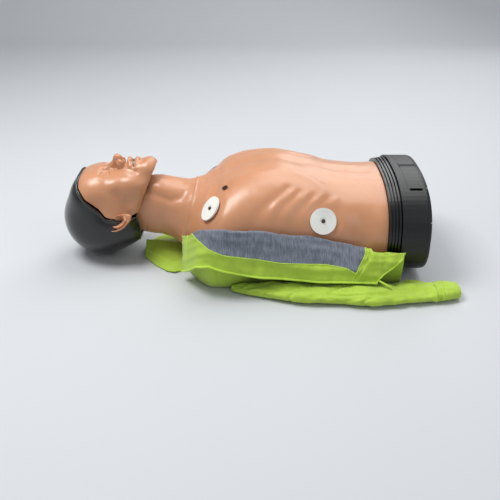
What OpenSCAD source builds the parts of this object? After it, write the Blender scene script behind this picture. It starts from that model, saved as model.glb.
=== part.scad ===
// Resuscitation training manikin: head and torso lying on their back, with an open jacket.
// X runs from the head to the hips, Y to the manikin's left, Z up. The origin is on the
// floor under the middle of the hip casing.

/* [Torso] */
// Height of the chest at its highest point
chest_h = 226; // [215:1:250]
// Width of the chest at the lower ribs
chest_w = 336; // [300:1:360]
// Width across the shoulders
shoulder_w = 368; // [350:1:400]
// Width of the waist
waist_w = 318; // [300:1:330]
// Height of the waist
waist_h = 194; // [180:1:205]
// Length from the waist to the root of the neck
chest_l = 400; // [380:1:430]
// Wall of the soft chest and neck skin
skin_t = 3; // [2:0.1:4]
// Wall of the hard back shell
back_t = 4; // [3:0.1:6]
// Thickness of the jacket cloth, both layers
cloth_t = 2; // [1.2:0.1:3]

/* [Hip casing] */
// Length of the hip casing along the body
casing_l = 60; // [52:1:80]
// Width of the hip casing
casing_w = 344; // [336:1:370]
// Height of the hip casing
casing_h = 207; // [200:1:225]
// Wall of the hip casing
casing_t = 4; // [3:0.1:5]
// Length of the ribbed waist ring
ring_l = 25; // [18:1:32]
// Width of each hatch flap along the body
flap_w = 34; // [33:1:38]
// Thickness of a hatch flap
flap_t = 3; // [2:0.1:4]
// Reach of a hatch flap down the side of the casing
flap_y = 102; // [90:1:110]

/* [Compression unit] */
// Depth to which the chest can be pressed
press_travel = 55; // [40:1:60]
// Outer radius of the plunger tube
plunger_r = 20; // [14:1:22]
// Mean radius of the return spring
spring_r = 33; // [31:1:40]
// Wire radius of the return spring
wire_r = 2.2; // [1.5:0.1:3]
// Number of turns in the return spring
spring_turns = 8; // [5:1:10]
// Distance of the pressing point from the waist
press_x = 235; // [200:1:260]

/* [Head] */
// Wall of the soft face
face_t = 4; // [3:0.1:5]
// Wall of the hard hair shell
hair_t = 4; // [3:0.1:5]
// How far the hair shell stands proud of the face
hair_proud = 3; // [1:0.5:4]
// Tilt of the head at rest
head_tilt = 10; // [6:1:12]
// Radius of the pin that the head tilts on
tilt_pin_r = 4; // [3:0.1:5]
// Radius of the rod that the jaw turns on
jaw_pin_r = 3; // [2:0.1:4]
// Length of the mouth opening
mouth_l = 42; // [30:1:48]
// Width of the mouth opening
mouth_w = 7; // [6:0.5:9]

/* [Electrodes] */
// Radius of the electrode discs
disc_r = 27; // [20:1:30]
// Thickness of the electrode discs
disc_t = 3.2; // [2:0.1:5]
// Radius of the snap studs
stud_r = 2; // [1.5:0.1:3]

/* [Hidden] */

gap = 0.4;            // clearance between pieces that are fastened or slide
run_gap = 0.05;       // radial clearance of a pin that turns in its bore
lap = 34;             // how far the chest skin reaches down past the back shell's rim, in degrees
waist_x = -casing_l / 2 - ring_l;
neck_x = waist_x - chest_l;
press_at = waist_x - press_x;
tan_skin = [0.82, 0.6, 0.46];
black = [0.09, 0.09, 0.1];
lime = [0.68, 0.83, 0.28];
grey = [0.5, 0.53, 0.57];
steel = [0.75, 0.76, 0.78];

function signed_pow(v, e) = sign(v) * pow(abs(v), e);
function mix(a, b, t) = a * (1 - t) + b * t;
function smooth(a, b, c, d, t) =
    0.5 * (2 * b + (c - a) * t + (2 * a - 5 * b + 4 * c - d) * t * t
        + (3 * b - a - 3 * c + d) * t * t * t);

// Body outline. Each station is [x, half width, lowest, widest at, highest, lean of the plane].
stations = [
    [waist_x + 34, waist_w / 2, 4.6, 92, waist_h, 0],
    [waist_x + 2, waist_w / 2, 4.6, 92, waist_h, 0],
    [waist_x - 45, waist_w / 2 - 2, 1.2, 92, waist_h - 1, 0],
    [waist_x - 110, waist_w / 2 - 1, -1.1, 94, waist_h + 6, 0],
    [waist_x - 165, chest_w / 2 - 5, -1.1, 96, chest_h - 12, 0],
    [waist_x - 225, chest_w / 2, -1.1, 98, chest_h, 0],
    [waist_x - 282, chest_w / 2 + 3, -1.1, 96, chest_h - 8, 0],
    [neck_x + 64, shoulder_w / 2 - 1, -1.1, 88, chest_h - 27, 0.04],
    [neck_x + 36, shoulder_w / 2 - 12, 2, 82, chest_h - 40, 0.12],
    [neck_x + 12, 138, 12, 84, chest_h - 49, 0.22],
    [neck_x - 12, 92, 26, 100, chest_h - 53, 0.28],
    [neck_x - 36, 66, 40, 114, chest_h - 55, 0.28],
    [neck_x - 62, 54, 46, 117, chest_h - 48, 0.26],
    [neck_x - 86, 50, 48, 118, chest_h - 41, 0.2],
    [neck_x - 103, 47, 50, 118, chest_h - 42, 0.12]];
last_station = len(stations) - 1;
seam = 10.3;          // station where the chest skin ends over the neck
function station(p) =
    let (i = min(floor(p), last_station - 1), t = p - i)
    smooth(stations[max(i - 1, 0)], stations[i], stations[i + 1],
        stations[min(i + 2, last_station)], t);
function body_point(p, a, inset) =
    let (s = station(p), low = a < 0 || a > 180,
        power = 2 / mix(low ? 3.2 : 2.5, 2.1, min(max(p - 7, 0) / 3, 1)),
        up = s[4] - s[3] - inset, down = s[3] - s[2] - inset,
        z = s[3] + (low ? down : up) * signed_pow(sin(a), power))
    [s[0] + s[5] * (z - s[3]), -(s[1] - inset) * signed_pow(cos(a), power), z];

// Solid between a list of closed rings, each with the same even number of points. An end is
// closed by a strip from the ring's first half to its second half, so a ring may be a thin band.
module skin_rings(rings) {
    count = len(rings[0]);
    last = (len(rings) - 1) * count;
    points = [for (r = rings) for (q = r) q];
    sides = [for (i = [0 : len(rings) - 2]) for (j = [0 : count - 1])
        let (a = i * count + j, b = i * count + (j + 1) % count)
        each [[a, a + count, b], [b, a + count, b + count]]];
    ends = [for (j = [0 : count / 2 - 2]) let (a = j, b = j + 1, c = count - 2 - j, d = c + 1)
        each [[a, b, d], [b, c, d], [last + b, last + a, last + d], [last + c, last + b, last + d]]];
    polyhedron(points, concat(sides, ends), convexity = 8);
}

// Open shell of the body outline, between two angles and two stations.
module body_shell(p0, p1, steps, a0, a1, around, inset, wall) {
    skin_rings([for (i = [0 : steps]) let (p = mix(p0, p1, i / steps)) concat(
        [for (j = [0 : around]) body_point(p, mix(a0, a1, j / around), inset)],
        [for (j = [around : -1 : 0]) body_point(p, mix(a0, a1, j / around), inset + wall)])]);
}

// Closed tube of the body outline.
module body_tube(p0, p1, steps, around, inset, wall) {
    count = around;
    function ring(i, d) = [for (j = [0 : count - 1])
        body_point(mix(p0, p1, i / steps), j * 360 / count - 90 + 0.001, inset + d)];
    points = [for (d = [0, wall]) for (i = [0 : steps]) for (q = ring(i, d)) q];
    inner = (steps + 1) * count;
    faces = [for (i = [0 : steps - 1]) for (j = [0 : count - 1])
        let (a = i * count + j, b = i * count + (j + 1) % count)
        each [[a, a + count, b], [b, a + count, b + count],
            [inner + a, inner + b, inner + a + count],
            [inner + b, inner + b + count, inner + a + count]]];
    rims = [for (j = [0 : count - 1])
        let (b = (j + 1) % count, c = steps * count)
        each [[j, b, inner + b], [j, inner + b, inner + j],
            [c + j, inner + c + b, c + b], [c + j, inner + c + j, inner + c + b]]];
    polyhedron(points, concat(faces, rims), convexity = 8);
}

module chest_skin() {
    color(tan_skin) body_shell(1.06, seam, 28, -lap, 180 + lap, 34, 0, skin_t);
}
module neck_skin() {
    color(tan_skin) body_tube(10, last_station, 9, 36, skin_t + 2.4 * gap, skin_t);
}
module back_shell() {
    color(tan_skin)
        body_shell(0.1, 9.9, 22, 188, 352, 18, skin_t + 2 * gap, back_t);
}

// Outline of the hip casing in the plane across the body, as [y, z].
function casing_outline(inset, count = 72) = [for (i = [0 : count - 1])
    let (a = i * 360 / count, mid = casing_h * 0.47,
        z = mid + (a > 180 ? mid - 3 : casing_h - mid) * signed_pow(sin(a), 2 / 2.6)
            - inset * sin(a),
        y = (casing_w / 2 - inset) * signed_pow(cos(a), 2 / 2.6))
    [y, z]];
waist_outline = [for (i = [0 : 71]) let (q = body_point(1, 5 * i + 0.001, skin_t))
    [q[1], q[2]]];

// Draws a child outline of [y, z] as a slab from x0 to x1.
module across(x0, x1) {
    translate([x0, 0, 0]) rotate([90, 0, 90]) linear_extrude(x1 - x0) children();
}
module waist_ring() {
    ribs = 4;
    rib = ring_l / ribs;
    color(black) difference() {
        union() {
            across(waist_x, -casing_l / 2 - gap)
                polygon(casing_outline(9.5));
            for (i = [0 : ribs - 1])
                across(waist_x + i * rib, waist_x + i * rib + rib * 0.62)
                    polygon(casing_outline(7.5 - 1.2 * i));
        }
        across(waist_x - 1, -casing_l / 2) polygon(waist_outline);
    }
}

hatch_x = -casing_l / 2 + 16;
hinge_y = 9;
hinge_z = casing_h - 6.4;
barrel_r = 3.6;
tray_h = 34;
casing_wall = casing_t + flap_t + 2;
function hatch_l(side) = side > 0 ? 60 : flap_y - 20;
module flap_outline(side, grow) {
    intersection() {
        difference() {
            polygon(casing_outline(0));
            polygon(casing_outline(flap_t + grow));
        }
        translate([side > 0 ? hinge_y - barrel_r - grow : -flap_y - grow, casing_h / 2])
            square([flap_y + 2 * grow - hinge_y + barrel_r, casing_h]);
    }
}
screw_places = [for (a = [20, 60, 120, 160, 215, 325]) let (mid = casing_h * 0.47)
    [(casing_w / 2 - 4.6) * signed_pow(cos(a), 2 / 2.6),
        mid + ((a > 180 ? mid - 3 : casing_h - mid) - 4.6) * signed_pow(sin(a), 2 / 2.6)]];
module hip_casing() {
    color(black) difference() {
        across(-casing_l / 2, casing_l / 2 - 8) polygon(casing_outline(0));
        across(-casing_l / 2 + casing_t, casing_l / 2) polygon(casing_outline(casing_wall));
        across(-casing_l / 2 - 1, casing_l / 2) polygon(waist_outline);
        across(hatch_x - gap, hatch_x + flap_w + gap) for (s = [-1, 1]) flap_outline(s, gap);
        for (s = [-1, 1]) {
            translate([hatch_x + 1.6, s > 0 ? 13 : -13 - hatch_l(s), casing_h - tray_h - 20])
                cube([flap_w - 3.2, hatch_l(s), tray_h + 20]);
            // Finger slot past the end of the flap
            translate([hatch_x + 4, s * (flap_y + 3) - 4, casing_h - 20.5])
                cube([flap_w - 8, 8, 30]);
            // Pocket for the hinge, and the seats of its pin
            translate([hatch_x - 1.4, s * hinge_y - (s > 0 ? 7.4 : 4.2), casing_h - 14.6])
                cube([flap_w + 2.8, 11.6, 20]);
            across(hatch_x - 6, hatch_x + flap_w + 1) translate([s * hinge_y, hinge_z])
                circle(r = 1.5 + run_gap, $fn = 32);
            translate([8, s * 70, -1]) cylinder(r = 2.6 + run_gap, h = 9.2, $fn = 32);
        }
        for (p = screw_places) across(casing_l / 2 - 22, casing_l / 2)
            translate(p) circle(r = 1.5 + run_gap, $fn = 24);
    }
}
module end_cover() {
    color(black) difference() {
        hull() {
            across(casing_l / 2 - 8 + gap, casing_l / 2 - 7) polygon(casing_outline(0.2));
            across(casing_l / 2 - 3, casing_l / 2 - 2) polygon(casing_outline(2.2));
            across(casing_l / 2 - 1, casing_l / 2) polygon(casing_outline(7));
        }
        for (p = screw_places) across(casing_l / 2 - 10, casing_l / 2 + 1) translate(p)
            circle(r = 1.7, $fn = 24);
        for (p = screw_places) across(casing_l / 2 - 5, casing_l / 2 + 1) translate(p)
            circle(r = 3.5, $fn = 24);
        across(casing_l / 2 - 9, casing_l / 2 - 4) polygon(casing_outline(13));
    }
}
module cover_screws() {
    color(steel) for (p = screw_places) translate([0, p[0], p[1]]) rotate([0, 90, 0]) {
        translate([0, 0, casing_l / 2 - 20]) cylinder(r = 1.5, h = 16, $fn = 24);
        difference() {
            translate([0, 0, casing_l / 2 - 4.8]) cylinder(r = 3.2, h = 2.4, $fn = 32);
            translate([0, 0, casing_l / 2 - 3.6]) cylinder(r = 1.5, h = 3, $fn = 6);
        }
    }
}
module floor_pad() {
    color([0.05, 0.05, 0.05]) {
        translate([-20, -80, 0]) cube([40, 160, 2.6]);
        for (s = [-1, 1]) translate([8, s * 70, 2.6]) cylinder(r = 2.6, h = 5, $fn = 32);
    }
}
button_r = 6;
button_x = hatch_x + flap_w / 2;
button_y = -flap_y + 42;
tray_z = casing_h - tray_h - 19;
module tray(side) {
    y0 = side > 0 ? 13.4 : -12.6 - hatch_l(side);
    difference() {
        intersection() {
            translate([hatch_x + 2, y0, tray_z]) cube([flap_w - 4, hatch_l(side) - 0.8, 80]);
            across(hatch_x, hatch_x + flap_w) polygon(casing_outline(casing_wall + 0.3));
        }
        translate([hatch_x + 3.6, y0 + 1.6, tray_z + 2])
            cube([flap_w - 7.2, hatch_l(side) - 4, 90]);
        if (side < 0) {
            translate([button_x, button_y, tray_z - 1])
                cylinder(r = button_r + run_gap, h = 4, $fn = 40);
            translate([button_x, button_y + 16, tray_z - 1])
                cylinder(r = 2.5 + run_gap, h = 4, $fn = 32);
        }
    }
}
module control_tray() { color(black) tray(-1); }
module battery_tray() { color(black) tray(1); }
module power_button() {
    color([0.75, 0.16, 0.14]) translate([button_x, button_y, tray_z]) {
        translate([0, 0, -3.2]) cylinder(r = button_r, h = 9, $fn = 40);
        translate([0, 0, -3.2]) cylinder(r = button_r + 2, h = 2.9, $fn = 40);
    }
}
module status_lens() {
    color([0.3, 0.9, 0.4]) translate([button_x, button_y + 16, tray_z]) {
        translate([0, 0, -2.6]) cylinder(r = 2.5, h = 6, $fn = 32);
        translate([0, 0, -2.6]) cylinder(r = 3.6, h = 2.3, $fn = 32);
    }
}
module usb_socket() {
    color(steel) translate([button_x - 7, button_y + 26, tray_z + 2.1]) difference() {
        cube([14, 12, 7]);
        translate([1, -1, 1]) cube([12, 11, 5]);
    }
}
cell_r = 5.2;
cell_l = 43.3;
module at_cells() {
    for (i = [-1, 1]) translate([button_x + i * (cell_r + 0.2), 0, tray_z + 2.1 + cell_r])
        rotate([-90, 0, 0]) children();
}
module battery_cells() {
    at_cells() {
        color([0.2, 0.3, 0.6]) translate([0, 0, 20]) cylinder(r = cell_r, h = cell_l, $fn = 40);
        color(steel) translate([0, 0, 20 + cell_l]) cylinder(r = 1.9, h = 1, $fn = 32);
    }
}
module battery_springs() {
    color(steel) at_cells() {
        translate([0, 0, 15.2]) cylinder(r1 = 4.6, r2 = 2.4, h = 4.6, $fn = 32);
        translate([0, 0, 20 + cell_l + 1.2]) cylinder(r = 4.2, h = 70.8 - 21.3 - cell_l, $fn = 32);
    }
}
module flap(side) {
    color(black) across(hatch_x, hatch_x + flap_w) difference() {
        union() {
            flap_outline(side, 0);
            translate([side * hinge_y, hinge_z]) circle(r = barrel_r, $fn = 40);
        }
        translate([side * hinge_y, hinge_z]) circle(r = 1.5 + run_gap, $fn = 32);
    }
}
module control_flap() { flap(-1); }
module battery_flap() { flap(1); }
module flap_pins() {
    color(steel) for (s = [-1, 1]) across(hatch_x - 5.8, hatch_x + flap_w)
        translate([s * hinge_y, hinge_z]) circle(r = 1.5, $fn = 32);
}

// Compression unit
guide_r = plunger_r + run_gap;
guide_top = 132;
floor_z = -1.1 + skin_t + 2 * gap + back_t;
plate_z = chest_h - 24;
module guide_tube() {
    color([0.85, 0.85, 0.82]) translate([press_at, 0, floor_z]) difference() {
        union() {
            translate([0, 0, 1.2]) cylinder(r = guide_r + 4, h = guide_top - floor_z - 1.2, $fn = 64);
            translate([-55, -45, 1.2]) cube([110, 90, 6]);
        }
        translate([0, 0, 3]) cylinder(r = guide_r, h = guide_top, $fn = 64);
        for (x = [-46, 46]) for (y = [-36, 36])
            translate([x, y, 0]) cylinder(r = 2.3, h = 20, $fn = 32);
    }
}
module guide_screws() {
    color(steel) for (x = [-46, 46]) for (y = [-36, 36])
        translate([press_at + x, y, floor_z]) difference() {
            union() {
                translate([0, 0, 0.9]) cylinder(r = 2, h = 7, $fn = 32);
                translate([0, 0, 7.5]) cylinder(r = 4, h = 3, $fn = 32);
            }
            translate([0, 0, 8.6]) cylinder(r = 2, h = 4, $fn = 6);
        }
}
spring_base = floor_z + 7.2 + 0.2 + wire_r;
spring_top = plate_z - 6 - 0.2 - wire_r;
module return_spring() {
    per_turn = 12;
    rings = spring_turns * per_turn;
    function centre(i) = let (a = i * 360 / per_turn)
        [spring_r * cos(a), spring_r * sin(a), mix(spring_base, spring_top, i / rings)];
    color(steel) translate([press_at, 0, 0]) skin_rings([for (i = [0 : rings]) let (
        a = i * 360 / per_turn, c = centre(i)) [for (k = [0 : 7]) let (b = -k * 45)
            c + wire_r * [cos(b) * cos(a), cos(b) * sin(a), sin(b)]]]);
}
module plunger_tube() {
    color([0.85, 0.85, 0.82]) translate([press_at, 0, 0]) difference() {
        translate([0, 0, plate_z - 6 - 90]) cylinder(r = plunger_r, h = 90, $fn = 64);
        translate([0, 0, plate_z - 6 - 91]) cylinder(r = plunger_r - 3, h = 86, $fn = 64);
    }
}
module sternum_plate() {
    color([0.85, 0.85, 0.82]) translate([press_at, 0, plate_z - 6]) difference() {
        linear_extrude(6) offset(r = 12) square([80, 46], center = true);
        for (x = [-40, 40]) for (y = [-23, 23])
            translate([x, y, -1]) cylinder(r = 4, h = 8, $fn = 32);
    }
}
module chest_pad() {
    color([0.35, 0.35, 0.37]) translate([press_at, 0, plate_z + 0.2])
        linear_extrude(10) offset(r = 12) square([52, 24], center = true);
}
module depth_sensor() {
    color([0.1, 0.4, 0.2]) translate([press_at + 62, -25, floor_z + 1.2]) {
        cube([60, 50, 1.6]);
        translate([8, 10, 1.6]) cube([14, 14, 3]);
        translate([32, 8, 1.6]) cube([20, 8, 6]);
        translate([30, 28, 1.6]) cylinder(r = 4, h = 8, $fn = 32);
    }
}
module shoulder_cap_right() { shoulder_cap(-1); }
module shoulder_cap_left() { shoulder_cap(1); }
module shoulder_cap(side) {
    s = station(7);
    color(black) translate([s[0] - 4, side * (s[1] - 1.2), s[3] - 6]) rotate([-side * 90, 0, 0]) {
        translate([0, 0, 1.4]) cylinder(r = 30, h = 1.2, $fn = 64);
        translate([0, 0, 2.6]) cylinder(r = 24, h = 1, $fn = 64);
    }
}

// Electrode discs stand on the chest skin at a station and angle of the body outline.
function unit(v) = v / norm(v);
function outward(p, a) = unit(cross(body_point(p + 0.05, a, 0) - body_point(p - 0.05, a, 0),
    body_point(p, a + 1, 0) - body_point(p, a - 1, 0)));
module on_chest(p, a, lift) {
    n = outward(p, a);
    up = n[2] < 0 ? -n : n;
    translate(body_point(p, a, 0) + up * lift)
        rotate([0, acos(up[2]), atan2(up[1], up[0])]) children();
}
module electrode_disc() {
    color([0.96, 0.96, 0.94]) {
        difference() {
            cylinder(r = disc_r, h = disc_t, $fn = 96);
            translate([0, 0, disc_t - 0.8]) difference() {
                cylinder(r = 7.4, h = 2, $fn = 64);
                translate([0, 0, -1]) cylinder(r = 4.2, h = 4, $fn = 64);
            }
        }
    }
    color(steel) translate([0, 0, disc_t]) cylinder(r = stud_r, h = 2.6, $fn = 48);
}
upper_disc = [8.35, 45];
lower_disc = [3.44, 21];
mid_stud = [7.05, 66];
module electrode_disc_upper() {
    on_chest(upper_disc[0], upper_disc[1], 1.5) electrode_disc();
}
module electrode_disc_lower() {
    on_chest(lower_disc[0], lower_disc[1], 0.8) electrode_disc();
}
module snap_stud() {
    color([0.35, 0.2, 0.12]) on_chest(mid_stud[0], mid_stud[1], 0.35) {
        difference() {
            cylinder(r = 6.5, h = 1.4, $fn = 48);
            translate([0, 0, 0.6]) cylinder(r = 5, h = 2, $fn = 48);
        }
        cylinder(r = stud_r, h = 3, $fn = 48);
    }
}

// Neck hinge
tilt_x = neck_x - 90;
tilt_z = 72;
module side_plate(y0, width) {
    translate([0, y0 + width, 0]) rotate([90, 0, 0]) linear_extrude(width) children();
}
module neck_bracket() {
    ear = 6;
    color([0.6, 0.6, 0.62]) difference() {
        union() {
            for (s = [-1, 1]) side_plate(s > 0 ? 15 : -15 - ear, ear) difference() {
                polygon([[neck_x + 100, 8], [neck_x + 100, 20], [neck_x + 20, 62],
                    [tilt_x, tilt_z + 9], [tilt_x - 6, tilt_z + 6.7], [tilt_x - 9, tilt_z],
                    [tilt_x - 6, tilt_z - 6.7], [neck_x - 24, 58],
                    [neck_x + 26, 20], [neck_x + 50, 8]]);
                translate([tilt_x, tilt_z]) circle(r = tilt_pin_r + run_gap, $fn = 48);
            }
            translate([neck_x + 52, -21, 8]) cube([48, 42, 5]);
        }
    }
}
module tilt_pin() {
    color(steel) translate([tilt_x, 0, tilt_z]) rotate([90, 0, 0]) {
        cylinder(r = tilt_pin_r, h = 46, center = true, $fn = 48);
        for (s = [-1, 1]) translate([0, 0, s * 22.7])
            cylinder(r = tilt_pin_r + 1.6, h = 1.6, center = true, $fn = 48);
    }
}

// Head frame: u towards the crown, f towards the face, about a centre inside the skull.
head_at = [neck_x - 200, 0, 105];
module in_head() {
    translate(head_at) rotate([0, -head_tilt, 0]) rotate([0, 0, 180]) children();
}
// Balls whose hull is the head, as [u, side, f, radius].
cranium = [[12, 0, -14, 84], [0, 24, -16, 66], [0, -24, -16, 66], [6, 22, 40, 58],
    [6, -22, 40, 58], [-10, 30, 48, 44], [-10, -30, 48, 44], [-34, 20, -26, 52], [-34, -20, -26, 52]];
jaw_balls = [[-40, 40, 62, 24], [-40, -40, 62, 24], [-72, 46, 12, 14], [-72, -46, 12, 14],
    [-112, 14, 78, 22], [-112, -14, 78, 22], [-80, 20, 82, 26], [-80, -20, 82, 26],
    [-4, 38, 50, 34], [-4, -38, 50, 34]];
module balls(list, grow) {
    hull() for (b = list) translate([b[0], b[1], b[2]]) sphere(r = b[3] + grow, $fn = 32);
}
module head_form(grow) {
    balls(cranium, grow);
    balls(jaw_balls, grow);
}
// Side view of the region that the face covers, as [u, f].
face_side = [[36, 140], [33, 78], [20, 56], [-3, 32], [-14, 12], [-50, -4], [-76, -2],
    [-84, 10], [-98, 34], [-124, 70], [-131, 78],
    [-150, 140]];
module side_region(points, grow) {
    rotate([90, 0, 0]) linear_extrude(260, center = true) offset(delta = grow) polygon(points);
}
module ear(side) {
    translate([-36, side * 71, -2]) rotate([side * 18, 0, 0]) difference() {
        hull() {
            translate([12, 0, 0]) rotate([90, 0, 0]) cylinder(r = 19, h = 7, center = true, $fn = 32);
            translate([-16, 0, 5]) rotate([90, 0, 0]) cylinder(r = 11, h = 7, center = true, $fn = 32);
        }
        translate([6, side * 4.5, -1]) rotate([90, 0, 0])
            cylinder(r = 11, h = 7, center = true, $fn = 32);
    }
}
module mouth_slot() {
    translate([-86, 0, 60]) linear_extrude(80) hull() for (s = [-1, 1])
        translate([0, s * (mouth_l - mouth_w) / 2]) circle(r = mouth_w / 2, $fn = 24);
}
module face_skin() {
    color(tan_skin) in_head() difference() {
        union() {
            intersection() {
                difference() {
                    union() {
                        head_form(0);
                        hull() {
                            translate([-26, 0, 98]) sphere(r = 8, $fn = 24);
                            translate([-52, 0, 108]) sphere(r = 13, $fn = 24);
                            translate([-58, 0, 98]) sphere(r = 14, $fn = 24);
                        }
                    }
                    head_form(-face_t);
                }
                side_region(face_side, 0);
            }
            for (s = [-1, 1]) ear(s);
        }
        head_form(-face_t);
        mouth_slot();
    }
}
hair_side = [[33.6, 160], [32.4, 78], [19.4, 56.6], [-3.6, 32.8], [-15, 12.8], [-52, -4.6], [-76, -2.8],
    [-74, -24], [-72, -48], [-66, -64], [-60, -120], [120, -120], [120, 160]];
module hair_shell() {
    color(black) in_head() difference() {
        intersection() {
            difference() {
                balls(cranium, hair_proud);
                head_form(hair_proud - hair_t);
            }
            difference() {
                side_region(hair_side, 0);
                side_region(face_side, gap);
            }
        }
        for (s = [-1, 1]) ear_space(s);
    }
}
module ear_space(side) {
    translate([-36, side * 71, -2]) rotate([side * 18, 0, 0]) hull() {
        translate([12, 0, 0]) rotate([90, 0, 0])
            cylinder(r = 19 + gap, h = 7 + 2 * gap, center = true, $fn = 32);
        translate([-16, 0, 5]) rotate([90, 0, 0])
            cylinder(r = 11 + gap, h = 7 + 2 * gap, center = true, $fn = 32);
    }
}

// Inside of the head
jaw_at = [-38, 0, 5];
module skull_plates() {
    color([0.6, 0.6, 0.62]) in_head() intersection() {
        balls(cranium, hair_proud - hair_t - gap);
        for (s = [-1, 1]) translate([0, s * 6.8, 0]) rotate([90, 0, 0])
            linear_extrude(3, center = true) difference() {
                polygon([[26, 66], [12, 48], [-8, 26], [-20, 6], [-50, -6], [-80, -6], [-80, -20],
                    [-60, -60], [-40, -130], [120, -130], [120, 66]]);
                translate([30, -10]) circle(r = 36, $fn = 48);
                for (q = keel_holes) translate(q) circle(r = 2 + run_gap, $fn = 32);
            }
    }
}
keel_holes = [[-26, -16], [-44, -22]];
tilt_at = let (dx = tilt_x - head_at[0], dz = tilt_z - head_at[2])
    [-dx * cos(head_tilt) - dz * sin(head_tilt), dz * cos(head_tilt) - dx * sin(head_tilt)];
module skull_keel() {
    color([0.6, 0.6, 0.62]) in_head() difference() {
        union() {
            rotate([90, 0, 0]) linear_extrude(10, center = true) polygon([
                [-20, -8], [-32, 12], [-44, 11], [-56, -2],
                [tilt_at[0] + 3, tilt_at[1] + 8.6], [tilt_at[0] - 3, tilt_at[1] - 8.6],
                [-60, -38], [-20, -32]]);
            translate([tilt_at[0], 0, tilt_at[1]]) rotate([90, 0, 0])
                cylinder(r = 9, h = 29, center = true, $fn = 48);
            translate(jaw_at) rotate([90, 0, 0]) cylinder(r = 7, h = 10, center = true, $fn = 48);
        }
        translate([tilt_at[0], 0, tilt_at[1]]) rotate([90, 0, 0])
            cylinder(r = tilt_pin_r + run_gap, h = 40, center = true, $fn = 48);
        translate(jaw_at) rotate([90, 0, 0])
            cylinder(r = jaw_pin_r + 0.02, h = 20, center = true, $fn = 48);
        for (q = keel_holes) translate([q[0], 0, q[1]]) rotate([90, 0, 0])
            cylinder(r = 2 + run_gap, h = 20, center = true, $fn = 32);
    }
}
module keel_screws() {
    color(steel) in_head() for (q = keel_holes) translate([q[0], 0, q[1]]) rotate([90, 0, 0]) {
        cylinder(r = 2, h = 17.4, center = true, $fn = 32);
        for (s = [-1, 1]) translate([0, 0, s * 9.9]) cylinder(r = 4, h = 2.4, center = true, $fn = 6);
    }
}
module jaw_pin() {
    color(steel) in_head() translate(jaw_at) rotate([90, 0, 0])
        cylinder(r = jaw_pin_r, h = 98, center = true, $fn = 48);
}
module mandible() {
    path = [[-38, 5], [-60, 32], [-104, 78]];
    side = [43, 36, 12];
    color([0.85, 0.85, 0.82]) in_head() difference() {
        union() {
            for (s = [-1, 1]) {
                for (i = [0, 1]) hull() for (j = [i, i + 1])
                    translate([path[j][0], s * side[j], path[j][1]]) sphere(r = 4.6, $fn = 24);
                translate([-38, s * 43, 5]) rotate([90, 0, 0])
                    cylinder(r = 7.5, h = 9, center = true, $fn = 48);
            }
            hull() for (s = [-1, 1]) translate([-104, s * 12, 78]) sphere(r = 4.6, $fn = 24);
        }
        translate(jaw_at) rotate([90, 0, 0])
            cylinder(r = jaw_pin_r + run_gap, h = 120, center = true, $fn = 48);
    }
}
module mouthpiece() {
    color([0.85, 0.85, 0.82]) in_head() translate([-83, 0, 0]) rotate_extrude($fn = 72)
        polygon([[8, 72], [8, 86], [13, 93], [13, 100.6], [11, 100.6], [11, 94],
            [6, 87], [6, 72]]);
}

// Jacket: cloth beside the body, as a path of [distance from the middle, height] at a station.
// It comes from under the back, climbs the side of the chest, folds over and falls outwards.
function fold_z(p) = lookup(p, [[1.2, 84], [2, 88], [3, 102], [4, 116], [5, 122], [6, 130], [7, 137],
    [8, 134], [9, 122], [10, 96], [10.5, 84]]);
function zip_y(p) = lookup(p, [[1.2, 210], [4, 212], [6, 214], [7, 216], [8, 212], [9, 200], [10, 160],
    [10.5, 136]]);
function zip_z(p) = lookup(p, [[1.2, 32], [3, 36], [4, 38], [5, 44], [6, 52], [7, 64], [8, 72], [9, 66],
    [10, 34], [10.5, 20]]);
function body_side(p) = max(station(p)[1], station(max(p - 0.6, 0))[1], p < 1.8 ? 174 : 0)
    + lookup(p, [[5.6, 0], [6.2, 6.5], [7.9, 6.5], [8.6, 1]]);
function beside(p, z) = let (s = station(p), h = min(max(z - s[3], 0) / (s[4] - s[3]), 0.98),
    n = mix(2.5, 2.1, min(max(p - 7, 0) / 3, 1))) body_side(p) * pow(1 - pow(h, n), 1 / n);
function cloth_path(p) = let (w = body_side(p), f = fold_z(p), y = zip_y(p), z = zip_z(p),
    t = beside(p, f) + 3)
    [[w - 20, 1.7], [w - 12, 12], [w - 4, 30], [w + 2.8, 58],
        [beside(p, mix(78, f, 0.3)) + 3.4, mix(78, f, 0.3)],
        [beside(p, mix(78, f, 0.7)) + 3.6, mix(78, f, 0.7)],
        [t + 1.5, f - 1], [t + 6, f + 4], [t + 12, f + 4],
        [mix(t + 14, y, 0.2), mix(f, z, 0.1)], [mix(t + 14, y, 0.45), mix(f, z, 0.3)],
        [mix(t + 14, y, 0.68), mix(f, z, 0.55)], [mix(t + 14, y, 0.86), mix(f, z, 0.8)], [y, z]];
function normal_at(path, i) = let (a = path[max(i - 1, 0)], b = path[min(i + 1, len(path) - 1)],
    d = unit(b - a)) [d[1], -d[0]];
function band(path, d) = concat(path,
    [for (i = [len(path) - 1 : -1 : 0]) path[i] + d * normal_at(path, i)]);
module cloth(side, p0, p1, steps, cut) {
    skin_rings([for (i = [0 : steps])
        let (p = side > 0 ? mix(p0, p1, i / steps) : mix(p1, p0, i / steps))
        [for (q = band(cloth_path(p), cloth_t))
            [max(min(station(p)[0], cut[1]), cut[0]), side * q[0], q[1]]]]);
}
module jacket_front_right() { color(lime) cloth(-1, 1.22, 10.4, 26, [-600, -64]); }
module jacket_front_left() { color(lime) cloth(1, 1.22, 10.4, 26, [-600, -64]); }
module hem(side) {
    color(lime) skin_rings([for (i = [0 : 3])
        let (x = side < 0 ? mix(-63.6, -24, i / 3) : mix(-24, -63.6, i / 3))
        [for (q = band(cloth_path(1.22), cloth_t)) [x, side * q[0], q[1]]]]);
}
module jacket_hem_right() { hem(-1); }
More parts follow.
